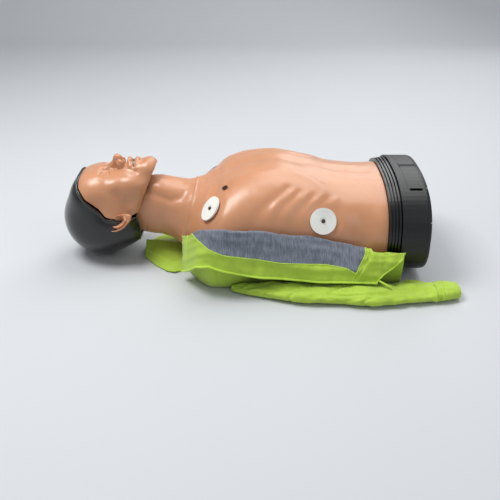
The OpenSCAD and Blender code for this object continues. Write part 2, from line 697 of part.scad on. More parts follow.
module jacket_hem_left() { hem(1); }
module jacket_back() {
    color(grey) linear_extrude(cloth_t) polygon(concat(
        [for (p = [1.22 : 0.4 : 10.4]) [station(p)[0], -body_side(p) + 24]],
        [for (p = [10.42 : -0.4 : 1.2]) [station(p)[0], body_side(p) - 24]]));
}
module jacket_collar() {
    ends = [[neck_x - 22.4, 92, 8], [neck_x - 45, 110, 16], [neck_x - 62, 104, 20],
        [neck_x - 90, 76, 24], [neck_x - 117, 40, 24]];
    color(lime) skin_rings([for (e = ends) concat(
        [for (t = [-1 : 0.125 : 1]) [e[0], t * e[1], cloth_t + e[2] * pow(1 - abs(t), 1.4)]],
        [for (t = [1 : -0.125 : -1]) [e[0], t * e[1], e[2] * pow(1 - abs(t), 1.4)]])]);
}
function arm_ring(x, y, w, h) = [for (j = [0 : 27]) let (a = j * 360 / 28)
    [x, y + w * signed_pow(cos(a), 0.9), h / 2 + h / 2 * signed_pow(sin(a), 0.8)]];
arm = [[-376, 184.5, 8, 16], [-350, 194, 14, 22], [-300, 203, 25, 26], [-232, 211, 34, 27],
    [-110, 220, 39, 28], [-60, 219, 37, 28], [-9, 211, 38, 28], [39.6, 209, 30, 25]];
module arm_loft(side, list) {
    skin_rings([for (i = [0 : len(list) - 1]) let (s = list[side > 0 ? i : len(list) - 1 - i])
        arm_ring(s[0], side * s[1], s[2], s[3])]);
}
module jacket_sleeve_right() { color(lime) arm_loft(-1, arm); }
module jacket_sleeve_left() { color(lime) arm_loft(1, arm); }
cuff = [[40, 209, 30, 26], [52, 207, 31, 28], [78, 205, 25, 28], [88, 204, 20, 26]];
module jacket_cuff_right() { color(lime) arm_loft(-1, cuff); }
module jacket_cuff_left() { color(lime) arm_loft(1, cuff); }

chest_skin();
neck_skin();
back_shell();
neck_bracket();
tilt_pin();
guide_tube();
guide_screws();
return_spring();
plunger_tube();
sternum_plate();
chest_pad();
depth_sensor();
waist_ring();
hip_casing();
end_cover();
cover_screws();
floor_pad();
control_tray();
battery_tray();
control_flap();
battery_flap();
flap_pins();
power_button();
status_lens();
usb_socket();
battery_cells();
battery_springs();
shoulder_cap_right();
shoulder_cap_left();
electrode_disc_upper();
electrode_disc_lower();
snap_stud();
face_skin();
hair_shell();
skull_plates();
skull_keel();
keel_screws();
jaw_pin();
mandible();
mouthpiece();
jacket_back();
jacket_front_right();
jacket_front_left();
jacket_sleeve_right();
jacket_sleeve_left();
jacket_cuff_right();
jacket_cuff_left();
jacket_hem_right();
jacket_hem_left();
jacket_collar();
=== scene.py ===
import math

import bpy
import numpy as np
from bpy.props import FloatProperty, FloatVectorProperty, PointerProperty
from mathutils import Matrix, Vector


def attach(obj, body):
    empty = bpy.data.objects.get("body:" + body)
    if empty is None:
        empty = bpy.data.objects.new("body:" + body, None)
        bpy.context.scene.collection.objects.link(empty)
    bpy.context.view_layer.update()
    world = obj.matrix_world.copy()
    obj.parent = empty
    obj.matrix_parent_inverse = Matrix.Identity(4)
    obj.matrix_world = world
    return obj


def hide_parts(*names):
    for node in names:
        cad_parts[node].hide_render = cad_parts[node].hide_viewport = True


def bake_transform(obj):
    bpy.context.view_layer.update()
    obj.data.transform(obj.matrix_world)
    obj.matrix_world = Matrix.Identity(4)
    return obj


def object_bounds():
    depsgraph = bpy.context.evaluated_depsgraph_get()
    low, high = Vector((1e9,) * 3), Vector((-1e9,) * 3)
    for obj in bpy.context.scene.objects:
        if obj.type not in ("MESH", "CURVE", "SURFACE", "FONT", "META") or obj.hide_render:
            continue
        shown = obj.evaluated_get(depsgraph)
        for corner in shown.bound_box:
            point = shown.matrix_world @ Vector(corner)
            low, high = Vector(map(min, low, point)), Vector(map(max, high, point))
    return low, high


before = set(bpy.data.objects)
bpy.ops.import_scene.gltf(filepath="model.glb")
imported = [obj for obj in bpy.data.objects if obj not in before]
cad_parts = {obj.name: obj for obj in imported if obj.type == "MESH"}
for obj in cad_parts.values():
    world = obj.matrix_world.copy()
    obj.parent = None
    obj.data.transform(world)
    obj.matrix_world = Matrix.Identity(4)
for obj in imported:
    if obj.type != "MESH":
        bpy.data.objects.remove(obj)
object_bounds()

bl_info = {
    "name": "Training Manikin",
    "version": (1, 0, 0),
    "blender": (4, 5, 0),
    "location": "View3D > Sidebar > Manikin",
    "description": "Builds a resuscitation training manikin with its jacket, in the row frame",
    "category": "Object",
}

MM = 0.001          # metres in a millimetre


# ---------------------------------------------------------------- node trees

class Wire:
    """A shader socket that takes arithmetic."""

    def __init__(self, graph, socket):
        self.graph, self.socket = graph, socket

    def _math(self, op, *values):
        return self.graph.add("ShaderNodeMath", {"operation": op}, dict(enumerate(values)))

    def __add__(self, other):
        return self._math("ADD", self, other)

    def __radd__(self, other):
        return self._math("ADD", other, self)

    def __sub__(self, other):
        return self._math("SUBTRACT", self, other)

    def __mul__(self, other):
        return self._math("MULTIPLY", self, other)

    def __truediv__(self, other):
        return self._math("DIVIDE", self, other)

    def sin(self):
        return self._math("SINE", self)

    def clamp(self, low=0.0, high=1.0):
        return self._math("MINIMUM", self._math("MAXIMUM", self, low), high)

    def ramp(self, low, high):
        return ((self - low) / (high - low)).clamp()


class Graph:
    """One material's node tree, with a Principled BSDF at its end."""

    def __init__(self, name, **constants):
        self.material = bpy.data.materials.new(name)
        self.material.use_nodes = True
        self.nodes = self.material.node_tree.nodes
        self.links = self.material.node_tree.links
        self.shader = self.nodes["Principled BSDF"]
        for key, value in constants.items():
            self.shader.inputs[key.replace("_", " ")].default_value = value

    def add(self, kind, settings=None, inputs=None, output=0):
        node = self.nodes.new(kind)
        for key, value in (settings or {}).items():
            setattr(node, key, value)
        for key, value in (inputs or {}).items():
            self.feed(node.inputs[key], value)
        return Wire(self, node.outputs[output])

    def feed(self, socket, value):
        if isinstance(value, Wire):
            self.links.new(value.socket, socket)
        elif hasattr(value, "__len__") and len(value) == 3 and socket.type == "RGBA":
            socket.default_value = (*value, 1.0)
        else:
            socket.default_value = value

    def place(self, scale=(1.0, 1.0, 1.0)):
        point = self.add("ShaderNodeTexCoord", output="Object")
        return self.add("ShaderNodeVectorMath", {"operation": "MULTIPLY"}, {0: point, 1: scale})

    def noise(self, scale, detail=2.0, roughness=0.5, stretch=(1.0, 1.0, 1.0)):
        return self.add("ShaderNodeTexNoise", {}, {
            "Vector": self.place(stretch), "Scale": scale, "Detail": detail,
            "Roughness": roughness})

    def mix(self, factor, a, b):
        return self.add("ShaderNodeMix", {"data_type": "RGBA"}, {0: factor, 6: a, 7: b}, output=2)

    def split(self, wire):
        node = self.nodes.new("ShaderNodeSeparateXYZ")
        self.links.new(wire.socket, node.inputs[0])
        return [Wire(self, s) for s in node.outputs]

    def bump(self, height, distance, strength=1.0):
        return self.add("ShaderNodeBump", {}, {
            "Height": height, "Distance": distance, "Strength": strength})

    def set(self, **wires):
        for key, value in wires.items():
            self.feed(self.shader.inputs[key.replace("_", " ")], value)
        return self.material


def linear(colour):
    return tuple(c / 12.92 if c <= 0.04045 else ((c + 0.055) / 1.055) ** 2.4 for c in colour)


def shade(colour, factor):
    return tuple(min(1.0, c * factor) for c in colour)


def skin_material(name, colour):
    g = Graph(name, Roughness=0.4, Specular_IOR_Level=0.5, Subsurface_Weight=0.12,
              Subsurface_Scale=0.006, Coat_Roughness=0.3)
    g.shader.inputs["Subsurface Radius"].default_value = (1.0, 0.35, 0.2)
    base = linear(colour)
    broad = g.noise(7.0, 3.0)
    fine = g.noise(60.0, 3.0)
    tone = g.mix(broad.ramp(0.35, 0.65), shade(base, 0.93), shade(base, 1.05))
    flush = (base[0] * 1.02, base[1] * 0.86, base[2] * 0.78)
    rosy = g.mix(fine.ramp(0.4, 0.75) * 0.25, tone, flush)
    pores = g.noise(900.0, 1.0)
    return g.set(Base_Color=rosy, Roughness=0.3 + broad * 0.1, Coat_Weight=0.22 + fine * 0.16,
                 Normal=g.bump(pores * 0.7 + fine * 0.6, 0.00012, 0.5))


def plastic_material(name, colour, gloss, grain=0.00006, coat=0.0):
    g = Graph(name, Specular_IOR_Level=0.5, Coat_Weight=coat, Coat_Roughness=0.08)
    base = linear(colour)
    wear = g.noise(14.0, 4.0)
    speck = g.noise(1400.0, 1.0)
    return g.set(Base_Color=g.mix(wear.ramp(0.3, 0.7), shade(base, 0.88), shade(base, 1.12)),
                 Roughness=gloss + wear * 0.08,
                 Normal=g.bump(speck, grain, 0.6))


def metal_material(name, colour, gloss):
    g = Graph(name, Metallic=1.0)
    base = linear(colour)
    scratch = g.noise(300.0, 3.0, 0.6, (1.0, 1.0, 0.06))
    return g.set(Base_Color=g.mix(scratch, shade(base, 0.85), base),
                 Roughness=gloss + scratch * 0.15, Normal=g.bump(scratch, 0.00003, 0.4))


def woven_material(name, colour, pitch, crinkle):
    g = Graph(name, Roughness=0.7, Sheen_Weight=0.25, Sheen_Roughness=0.5,
              Specular_IOR_Level=0.35)
    base = linear(colour)
    x, y, z = g.split(g.place((6.2832 / pitch,) * 3))
    weave = (x + z * 0.6).sin() * (y + z * 0.8).sin()
    broad = g.noise(9.0, 4.0, 0.55)
    puckers = g.noise(70.0, 3.0, 0.6, (1.6, 0.7, 1.0))
    tone = g.mix(broad.ramp(0.3, 0.7), shade(base, 0.9), shade(base, 1.08))
    worn = g.mix(weave.ramp(-1.0, 1.0) * 0.3, tone, shade(base, 0.72))
    height = weave * 0.00005 + puckers * crinkle
    return g.set(Base_Color=worn, Roughness=0.62 + puckers * 0.15,
                 Normal=g.bump(height, 1.0, 0.8))


def mesh_material(name, colour, pitch):
    g = Graph(name, Roughness=0.85, Sheen_Weight=0.4, Specular_IOR_Level=0.25)
    base = linear(colour)
    x, y, z = g.split(g.place((6.2832 / pitch,) * 3))
    holes = ((x * 1.0).sin() * (y + z).sin()).ramp(0.25, 0.8)
    streak = g.noise(260.0, 2.0, 0.6, (2.2, 0.25, 0.25))
    fleck = g.noise(700.0, 2.0, 0.7, (0.5, 2.0, 2.0))
    blue = (base[0] * 0.6, base[1] * 0.66, base[2] * 0.74)
    heather = g.mix(streak.ramp(0.38, 0.62), blue, shade(base, 1.18))
    flecked = g.mix(fleck.ramp(0.52, 0.7) * 0.6, heather, shade(base, 1.6))
    # The holes are darkened to three tenths of the colour: painted shade in the mesh's holes
    shaded_holes = g.mix(holes * 0.75, flecked, shade(base, 0.3))
    return g.set(Base_Color=shaded_holes, Roughness=0.8 + streak * 0.1,
                 Normal=g.bump(streak * 0.5 - holes, 0.0004, 0.7))


PALETTE = {}
PLASTICS = {  # colour, roughness, depth of the grain in metres, coat
    "hair": ((0.03, 0.03, 0.034), 0.2, 0.00001, 0.35),
    "black": ((0.045, 0.045, 0.05), 0.4),
    "ring": ((0.035, 0.035, 0.04), 0.3, 0.00003, 0.15),
    # Painted shade: near-black for the nostrils' pits, the mouth's inward walls and the bottom of
    # each cuff's mouth, where only shade falls
    "painted_shade": ((0.03, 0.03, 0.03), 0.7),
    "foot": ((0.08, 0.08, 0.08), 0.75, 0.0002),
    "white": ((0.93, 0.93, 0.9), 0.4),
    "inner": ((0.88, 0.88, 0.84), 0.45),
    "stud": ((0.3, 0.19, 0.12), 0.45),
    "pad": ((0.3, 0.3, 0.32), 0.85, 0.0003),
    "board": ((0.1, 0.38, 0.22), 0.4),
    "button": ((0.72, 0.12, 0.1), 0.3),
    "lens": ((0.3, 0.85, 0.4), 0.12, 0.00001, 0.4),
    "cell": ((0.16, 0.28, 0.55), 0.25, 0.00002, 0.3),
}


def palette(props):
    """The materials, made once and shared by the pieces."""
    if not PALETTE:
        PALETTE.update({key: plastic_material(key.capitalize(), *values)
                        for key, values in PLASTICS.items()})
        PALETTE.update({
            "skin": skin_material("Skin", props.skin_colour),
            "back": skin_material("Back", shade(props.skin_colour, 0.97)),
            "steel": metal_material("Steel", (0.76, 0.76, 0.78), 0.25),
            "frame": metal_material("Frame", (0.66, 0.67, 0.69), 0.4),
            "lime": woven_material("Lime", props.jacket_colour, 0.0012, 0.0012),
            "piping": woven_material("Piping", shade(props.jacket_colour, 1.13), 0.0009, 0.0002),
            "lining": mesh_material("Lining", props.lining_colour, 0.0026),
        })
    return PALETTE


# ------------------------------------------------------------------- meshes

def add_mesh(name, verts, faces, materials, index=None, smooth=True):
    """verts are in millimetres."""
    mesh = bpy.data.meshes.new(name)
    mesh.from_pydata((np.asarray(verts, float) * MM).tolist(), [], [list(f) for f in faces])
    for m in materials:
        mesh.materials.append(m)
    if index is not None:
        mesh.polygons.foreach_set("material_index", np.asarray(index, np.int32))
    mesh.polygons.foreach_set("use_smooth", np.full(len(mesh.polygons), smooth))
    mesh.update()
    obj = bpy.data.objects.new(name, mesh)
    bpy.context.collection.objects.link(obj)
    return obj


def grid_normals(grid, closed=False):
    du = np.gradient(grid, axis=0)
    if closed:
        dv = (np.roll(grid, -1, 1) - np.roll(grid, 1, 1)) / 2
    else:
        dv = np.gradient(grid, axis=1)
    n = np.cross(du, dv)
    return n / np.maximum(np.linalg.norm(n, axis=-1, keepdims=True), 1e-9)


def grid_faces(rows, cols, closed=False, start=0, flip=False):
    faces = []
    for i in range(rows - 1):
        for j in range(cols if closed else cols - 1):
            k = (j + 1) % cols
            f = (start + i * cols + j, start + i * cols + k,
                 start + (i + 1) * cols + k, start + (i + 1) * cols + j)
            faces.append(f[::-1] if flip else f)
    return faces


def rim(rows, cols):
    """The points once round the outside of a grid."""
    return ([j for j in range(cols)] + [i * cols + cols - 1 for i in range(1, rows)]
            + [(rows - 1) * cols + j for j in range(cols - 2, -1, -1)]
            + [i * cols for i in range(rows - 2, 0, -1)])


def shell(grid, thick, closed=False, normals=None, bulge=0.38):
    """Verts, faces and a tag per face (outer side, inner side, rim) for a sheet with two sides.
    The grid is the outer side, its normals point outwards, and the rim bulges by a share of
    the thickness."""
    rows, cols = grid.shape[:2]
    count = rows * cols
    n = grid_normals(grid, closed) if normals is None else normals
    inner = grid - n * thick
    verts = [*grid.reshape(-1, 3), *inner.reshape(-1, 3)]
    faces = grid_faces(rows, cols, closed)
    tags = [0] * len(faces) + [1] * len(faces)
    faces += grid_faces(rows, cols, closed, count, True)
    loops = ([([r * cols + j for j in range(cols)], r == 0) for r in (0, rows - 1)] if closed
             else [(rim(rows, cols), True)])
    for ring, forward in loops:
        a, b = grid.reshape(-1, 3)[ring], inner.reshape(-1, 3)[ring]
        mid = (a + b) / 2
        out = np.cross(np.roll(mid, -1, 0) - np.roll(mid, 1, 0), a - b)
        out /= np.maximum(np.linalg.norm(out, axis=1, keepdims=True), 1e-9)
        base, m = len(verts), len(ring)
        verts += list(mid + (out if forward else -out) * (thick * bulge))
        for k in range(m):
            q = (k + 1) % m
            one = (ring[q], ring[k], base + k, base + q)
            two = (base + q, base + k, count + ring[k], count + ring[q])
            faces += [one, two] if forward else [one[::-1], two[::-1]]
            tags += [2, 2]
    return np.array(verts), faces, tags


def merge(parts):
    """Joins lists of (verts, faces) into one."""
    verts, faces = [], []
    for v, f in parts:
        base = sum(len(x) for x in verts)
        verts.append(np.asarray(v, float))
        faces += [tuple(base + k for k in face) for face in f]
    return np.concatenate(verts), faces


def tube(path, radius, around):
    """Verts and faces of a tube with domed ends along a path of points."""
    path = np.asarray(path, float)
    t = np.gradient(path, axis=0)
    t /= np.linalg.norm(t, axis=1, keepdims=True)
    ref = np.array([0.0, 0.0, 1.0]) if abs(t[0, 2]) < 0.9 else np.array([0.0, 1.0, 0.0])
    a = np.cross(t, ref)
    a /= np.linalg.norm(a, axis=1, keepdims=True)
    b = np.cross(t, a)
    ang = (np.arange(around) * 2 * np.pi / around)[None, :, None]
    grid = path[:, None] + radius * (np.cos(ang) * a[:, None] + np.sin(ang) * b[:, None])
    faces = grid_faces(len(path), around, True, flip=True)
    verts = list(grid.reshape(-1, 3))
    for i, sign in ((0, 1), (len(path) - 1, -1)):
        verts.append(path[i] - t[i] * radius * 0.4 * sign)
        for j in range(around):
            f = (len(verts) - 1, i * around + j, i * around + (j + 1) % around)
            faces.append(f[::sign])
    return np.array(verts), faces


def outwards(verts, faces, corners, away):
    """The faces, turned over if the one with these corners doesn't look along away."""
    a, b, c = (np.asarray(verts[k]) for k in corners)
    return faces if np.cross(b - a, c - a) @ away >= 0 else [f[::-1] for f in faces]


def bell(x, width):
    return np.exp(-(x / width) ** 2)


def step(x, low, high):
    t = np.clip((x - low) / (high - low), 0, 1)
    return t * t * (3 - 2 * t)


def ripple(p, scale, seed, octaves=3):
    """Smooth random waves over points, about -1 to 1."""
    rng = np.random.default_rng(seed)
    total = np.zeros(p.shape[:-1])
    for o in range(octaves):
        for _ in range(4):
            d = rng.normal(size=3)
            d *= 2 * np.pi / (scale / 1.9 ** o) / np.linalg.norm(d)
            total += np.sin(p @ d + rng.uniform(0, 6.28)) * 0.42 / 1.8 ** o
    return total / 1.4


def along(x, y, path):
    """Distance of points from a path of (x, y), and how far along it the nearest point is."""
    best, where = np.full(x.shape, 1e9), np.zeros(x.shape)
    path = np.asarray(path, float)
    total = np.linalg.norm(np.diff(path, axis=0), axis=1).sum()
    run = 0.0
    for a, b in zip(path[:-1], path[1:]):
        d = b - a
        length = np.hypot(*d)
        t = np.clip(((x - a[0]) * d[0] + (y - a[1]) * d[1]) / length ** 2, 0, 1)
        q = np.hypot(x - a[0] - t * d[0], y - a[1] - t * d[1])
        where = np.where(q < best, (run + t * length) / total, where)
        best = np.minimum(best, q)
        run += length
    return best, where


# --------------------------------------------------------------------- body

# Body stations: x, half width, height of the lowest point, height of the widest, height of the
# top, and how far the section leans. The stations and the body outline are part.scad's.
STATIONS = np.array([
    [-21, 159, 4.6, 92, 194, 0], [-53, 159, 4.6, 92, 194, 0], [-100, 157, 1.2, 92, 193, 0],
    [-165, 158, -1.1, 94, 200, 0], [-220, 163, -1.1, 96, 214, 0], [-280, 168, -1.1, 98, 226, 0],
    [-337, 171, -1.1, 96, 218, 0], [-391, 183, -1.1, 88, 199, 0.04], [-419, 172, 2, 82, 186, 0.12],
    [-443, 138, 12, 84, 177, 0.22], [-467, 92, 26, 100, 173, 0.28], [-491, 66, 40, 114, 171, 0.28],
    [-517, 54, 46, 117, 178, 0.26], [-541, 50, 48, 118, 185, 0.2], [-558, 47, 50, 118, 184, 0.12]])


def smooth_path(points, t):
    """Catmull-Rom curve through points, at t from 0 to the number of spans."""
    points, t = np.asarray(points, float), np.asarray(t, float)
    i = np.clip(np.floor(t).astype(int), 0, len(points) - 2)
    u = (t - i)[..., None]
    a, b = points[np.maximum(i - 1, 0)], points[i]
    c, d = points[i + 1], points[np.minimum(i + 2, len(points) - 1)]
    return 0.5 * (2 * b + (c - a) * u + (2 * a - 5 * b + 4 * c - d) * u ** 2
                  + (3 * b - a - 3 * c + d) * u ** 3)


def station(p):
    return smooth_path(STATIONS, p)


def body_point(p, angle, inset=0.0):
    """A point on the body outline at a station and an angle in degrees, in millimetres."""
    s = station(p)
    sine, cosine = np.sin(np.radians(angle)), np.cos(np.radians(angle))
    low = sine < 0
    n = np.where(low, 3.2, 2.5)
    n = n + (2.1 - n) * np.clip((np.asarray(p) - 7) / 3, 0, 1)
    reach = np.where(low, s[..., 3] - s[..., 2], s[..., 4] - s[..., 3]) - inset
    z = s[..., 3] + reach * np.sign(sine) * np.abs(sine) ** (2 / n)
    y = -(s[..., 1] - inset) * np.sign(cosine) * np.abs(cosine) ** (2 / n)
    return np.stack([s[..., 0] + s[..., 5] * (z - s[..., 3]), y, z], -1)


RIB_LINES = [  # path of (x, distance from the middle), height, width
    ([(-248, 100), (-267, 124), (-297, 143), (-321, 157), (-339, 166)], -4.6, 8.0),
    ([(-244, 112), (-262, 131), (-303, 160)], 2.6, 6.0),
    ([(-228, 108), (-247, 129), (-289, 162)], -2.6, 5.5),
    ([(-212, 108), (-230, 130), (-274, 163)], 2.4, 6.0),
    ([(-198, 108), (-216, 129), (-255, 162)], -2.3, 5.5),
    ([(-182, 104), (-200, 125), (-236, 161)], 2.2, 6.5),
    ([(-168, 108), (-184, 124), (-215, 156)], -1.9, 6.0),
    ([(-152, 104), (-164, 123), (-195, 148)], 1.6, 7.0),
    ([(-387, 66), (-358, 69), (-331, 70), (-285, 67), (-258, 66)], 2.4, 10.0),
    ([(-268, 66), (-228, 69), (-198, 89), (-172, 116), (-150, 136)], 3.4, 8.0),
    ([(-262, 55), (-234, 56), (-202, 63), (-178, 84)], 2.0, 6.0),
    ([(-180, 30), (-134, 33), (-98, 35), (-70, 27)], 1.8, 11.0),
    ([(-412, 28), (-424, 60), (-430, 100), (-424, 138)], 4.2, 9.0),
    ([(-400, 40), (-404, 80), (-402, 120)], -2.2, 11.0),
]


DISC_SEATS = [((-421, -122.5, 159), 29), ((-189, -155, 145), 29), ((-389, -89, 191), 7)]


def chest_relief(points):
    """How far the chest skin rises or sinks at points of the body outline."""
    x, y, z = points[..., 0], np.abs(points[..., 1]), points[..., 2]
    top = step(z, 88, 128)
    h = np.zeros(x.shape)
    for path, height, width in RIB_LINES:
        d, t = along(x, y, path)
        ends = step(t, 0.0, 0.18) * step(1 - t, 0.0, 0.2)
        h += 0.6 * height * bell(d, width * 1.15) * (0.05 + 0.95 * ends) * top
    h -= 3.0 * bell(y, 20) * step(x, -430, -380) * step(-x, 200, 250)        # breastbone
    h += 4.5 * bell(x + 352, 48) * bell(y - 108, 42) * top                   # breast
    h -= 2.2 * bell(x + 222, 26) * bell(y, 44)                               # pit of the stomach
    h -= 1.8 * bell(y, 6) * step(x, -190, -160) * step(-x, 64, 90) * top     # middle of the belly
    h -= 3.2 * bell(x + 104, 26) * bell(y - 152, 16) * step(z, 70, 110)      # flank
    h += 2.4 * bell(x + 72, 15) * bell(y - 150, 26) * step(z, 60, 110)       # hip
    h += 2.6 * bell(x + 146, 22) * bell(y - 150, 22) * step(z, 90, 130)
    h -= 2.4 * bell(x + 128, 3.2) * bell(y, 3.6) * (z > 150)                 # navel
    h -= 3.4 * bell(x + 437, 9) * bell(y, 15)                                # notch of the throat
    h += 0.35 * ripple(points, 60, 3)
    for place, reach in DISC_SEATS:
        d = np.linalg.norm(points - np.array(place), axis=-1)
        seat = 1 - step(d, reach, reach + 16)
        h = h * (1 - seat) - 0.5 * seat
    return h


def chest_surface(p, angle, lift=0.0):
    q = body_point(p, angle)
    n = grid_normals(q)
    out = np.sign(((q - np.array([-260.0, 0, 90])) * n).sum(-1, keepdims=True))
    n = n * out
    return q + n * (chest_relief(q)[..., None] + lift), n


def settings():
    return bpy.context.scene.manikin


def colour(name, description, default):
    return FloatVectorProperty(name=name, description=description, default=default, size=3,
                               min=0, max=1, subtype="COLOR_GAMMA")


def length(name, description, default, low, high):
    return FloatProperty(name=name, description=description, default=default, min=low, max=high,
                         unit="LENGTH", subtype="DISTANCE")


class ManikinSettings(bpy.types.PropertyGroup):
    skin_colour: colour("Skin", "Colour of the soft skins", (0.79, 0.56, 0.41))
    jacket_colour: colour("Jacket", "Colour of the jacket's shell", (0.68, 0.8, 0.25))
    lining_colour: colour("Lining", "Colour of the jacket's lining", (0.47, 0.49, 0.53))
    floor_colour: colour("Floor", "Colour of the floor", (0.78, 0.79, 0.8))
    skin_wall: length("Skin wall", "Wall of the chest and neck skins", 0.003, 0.001, 0.005)
    face_wall: length("Face wall", "Wall of the face skin", 0.004, 0.002, 0.006)
    cloth: length("Cloth", "Thickness of the jacket's two layers", 0.0022, 0.001, 0.004)
    press_reach: length("Press reach", "How far from the pressing point the chest skin gives",
                        0.125, 0.05, 0.2)


class Piece:
    """What the operators share: each builds its piece from the settings and the materials."""

    def execute(self, context):
        s = settings()
        self.build(s, palette(s))
        return {"FINISHED"}


PRESS_AT = (-0.29, 0.0)


class BuildTorso(Piece, bpy.types.Operator):
    """Sculpts the soft chest skin"""
    bl_idname = "manikin.torso"
    bl_label = "Chest skin"

    def build(self, s, m):
        p = np.concatenate([np.linspace(1.06, 8.5, 240), np.linspace(8.53, 10.3, 80)])
        a = np.linspace(-34, 214, 300)
        pp, aa = np.meshgrid(p, a, indexing="ij")
        grid, n = chest_surface(pp, aa)
        # A thickened, rolled lip where the skin ends over the neck
        lip = bell(pp - 10.24, 0.07) * 1.8
        grid = grid + n * lip[..., None]
        if np.dot(grid_normals(grid)[10, 150], n[10, 150]) < 0:
            grid, n = grid[:, ::-1], n[:, ::-1]
        verts, faces, _ = shell(grid, s.skin_wall / MM, normals=n)
        obj = add_mesh("torso_skin", verts, faces, [m["skin"]])
        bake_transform(obj)
        co = np.array([v.co for v in obj.data.vertices])
        far = np.linalg.norm((co[:, :2] - PRESS_AT) / np.array([1.0, 0.82]), axis=1)
        weight = 1 - step(far, 0.03, s.press_reach)
        weight *= step(co[:, 2], 0.12, 0.17)
        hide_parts("chest_skin")


class BuildNeck(Piece, bpy.types.Operator):
    """Sculpts the neck skin, which the chest skin and the face lap over"""
    bl_idname = "manikin.neck"
    bl_label = "Neck skin"

    def build(self, s, m):
        p = np.concatenate([np.linspace(10.0, 14.0, 130), np.full(34, 14.0)])
        past = np.concatenate([np.zeros(130), np.linspace(0.03, 1, 34)])
        a = np.linspace(0, 360, 241)[:-1] - 90
        pp, aa = np.meshgrid(p, a, indexing="ij")
        aa = np.where(aa > 180, aa - 360, aa)
        grid = body_point(pp, aa, 4.0)
        # Past the last station the neck goes on under the jaw, into the head
        high = np.clip((grid[..., 2] - 50) / 134, 0, 1)
        more = past[:, None]
        grid = grid + np.stack([-(34 - 20 * high) * more, -grid[..., 1] * 0.05 * more,
                                -(grid[..., 2] - 100) * 0.1 * more], -1)
        n = grid_normals(grid, True)
        centre = np.stack([grid[..., 0], 0 * grid[..., 1], 0 * grid[..., 2] + 116], -1)
        if ((grid - centre) * n).sum() < 0:
            grid, n = grid[:, ::-1], n[:, ::-1]
        x, y, z = grid[..., 0], np.abs(grid[..., 1]), grid[..., 2]
        h = np.zeros(x.shape)
        d, _ = along(x, z, [(-560, 160), (-530, 150), (-508, 143), (-484, 149), (-458, 164)])
        h += 2.6 * bell(d, 7.0) * (y > 20)                   # strap muscle
        d, _ = along(x, z, [(-550, 172), (-515, 163), (-475, 165)])
        h -= 1.8 * bell(d, 9.0) * bell(y - 34, 16)
        h += 3.0 * bell(y, 17) * bell(x + 524, 17) * (z > 120)    # larynx
        h -= 1.6 * bell(y, 16) * bell(x + 470, 13) * (z > 120)
        h *= step(-x, 462, 480)
        h = np.minimum(h, 3.2)
        h += 0.25 * ripple(grid, 40, 5)
        grid = grid + n * h[..., None]
        verts, faces, _ = shell(grid, s.skin_wall / MM, True, n)
        obj = add_mesh("neck_cover", verts, faces, [m["skin"]])
        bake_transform(obj)
        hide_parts("neck_skin")


# --------------------------------------------------------------------- head

HEAD_AT = np.array([-655.0, 0.0, 105.0])
HEAD_TILT = math.radians(10)
AXIS_F = 15.0       # height of the axis that the face is measured from
RAY_REACH, RAY_STEPS = 150.0, 90
CRANIUM = [[12, 0, -14, 84], [0, 24, -16, 66], [0, -24, -16, 66], [6, 22, 40, 58],
           [6, -22, 40, 58], [-10, 30, 48, 44], [-10, -30, 48, 44], [-34, 20, -26, 52],
           [-34, -20, -26, 52]]
FACE_EDGE = np.array([[36, 150], [33, 78], [20, 56], [-3, 32], [-14, 12], [-50, -4], [-76, -2],
                      [-84, 10], [-98, 34], [-124, 70], [-131, 78], [-160, 150]], float)
HAIR_EDGE = np.array([[34.6, 160], [33.4, 78], [20.4, 56.0], [-2.4, 31.8], [-14, 11], [-50, -6],
                      [-76, -4], [-74, -24], [-72, -48], [-66, -64], [-60, -130], [130, -130],
                      [130, 160]], float)


def head_place(q):
    """Head points (towards the crown, to the right, out of the face) in the row frame."""
    c, t = math.cos(HEAD_TILT), math.sin(HEAD_TILT)
    u, s, f = q[..., 0], q[..., 1], q[..., 2]
    return np.stack([-u * c - f * t, -s, -u * t + f * c], -1) + HEAD_AT


def inside(u, f, edge):
    """Whether points lie in a polygon."""
    hit = np.zeros(u.shape, bool)
    for (a, b), (c, d) in zip(edge, np.roll(edge, -1, 0)):
        if b != d:
            hit ^= ((b > f) != (d > f)) & (u < (c - a) * (f - b) / (d - b) + a)
    return hit


def powers(d, degree=8):
    x, y, z = d[..., 0], d[..., 1] ** 2, d[..., 2]
    return np.stack([x ** (n - 2 * j - k) * y ** j * z ** k for n in (degree, degree - 1)
                     for j in range(n // 2 + 1) for k in range(n - 2 * j + 1)], -1)


def hull_reach(balls, origin):
    """How far the smooth hull of some balls reaches from a point inside it, in a direction."""
    k = np.arange(2600) + 0.5
    z, turn = 1 - 2 * k / 2600, k * 2.399963
    n = np.stack([np.sqrt(1 - z * z) * np.cos(turn), np.sqrt(1 - z * z) * np.sin(turn), z], -1)
    balls = np.array(balls, float)
    height = ((balls[:, :3] - origin) @ n.T + balls[:, 3:]).max(0)
    cosine = n @ n.T
    reach = np.where(cosine > 0.2, height[None] / np.maximum(cosine, 0.2), 1e9).min(1)
    fit = np.linalg.lstsq(powers(n), reach, rcond=None)[0]
    return lambda d: powers(d) @ fit


SKULL_AT = np.array([2.0, 0.0, 2.0])
SKULL = hull_reach(CRANIUM, SKULL_AT)


def skull(q):
    d = q - SKULL_AT
    r = np.maximum(np.linalg.norm(d, axis=-1), 1e-6)
    return r - SKULL(d / r[..., None])


def capsule(q, a, b, ra, rb=None):
    a, b = np.array(a, float), np.array(b, float)
    t = np.clip((q - a) @ (b - a) / max((b - a) @ (b - a), 1e-9), 0, 1)
    rb = ra if rb is None else rb
    return np.linalg.norm(q - a - t[..., None] * (b - a), axis=-1) - ra - t * (rb - ra)


def ball(q, c, r):
    return np.linalg.norm(q - np.array(c, float), axis=-1) - r


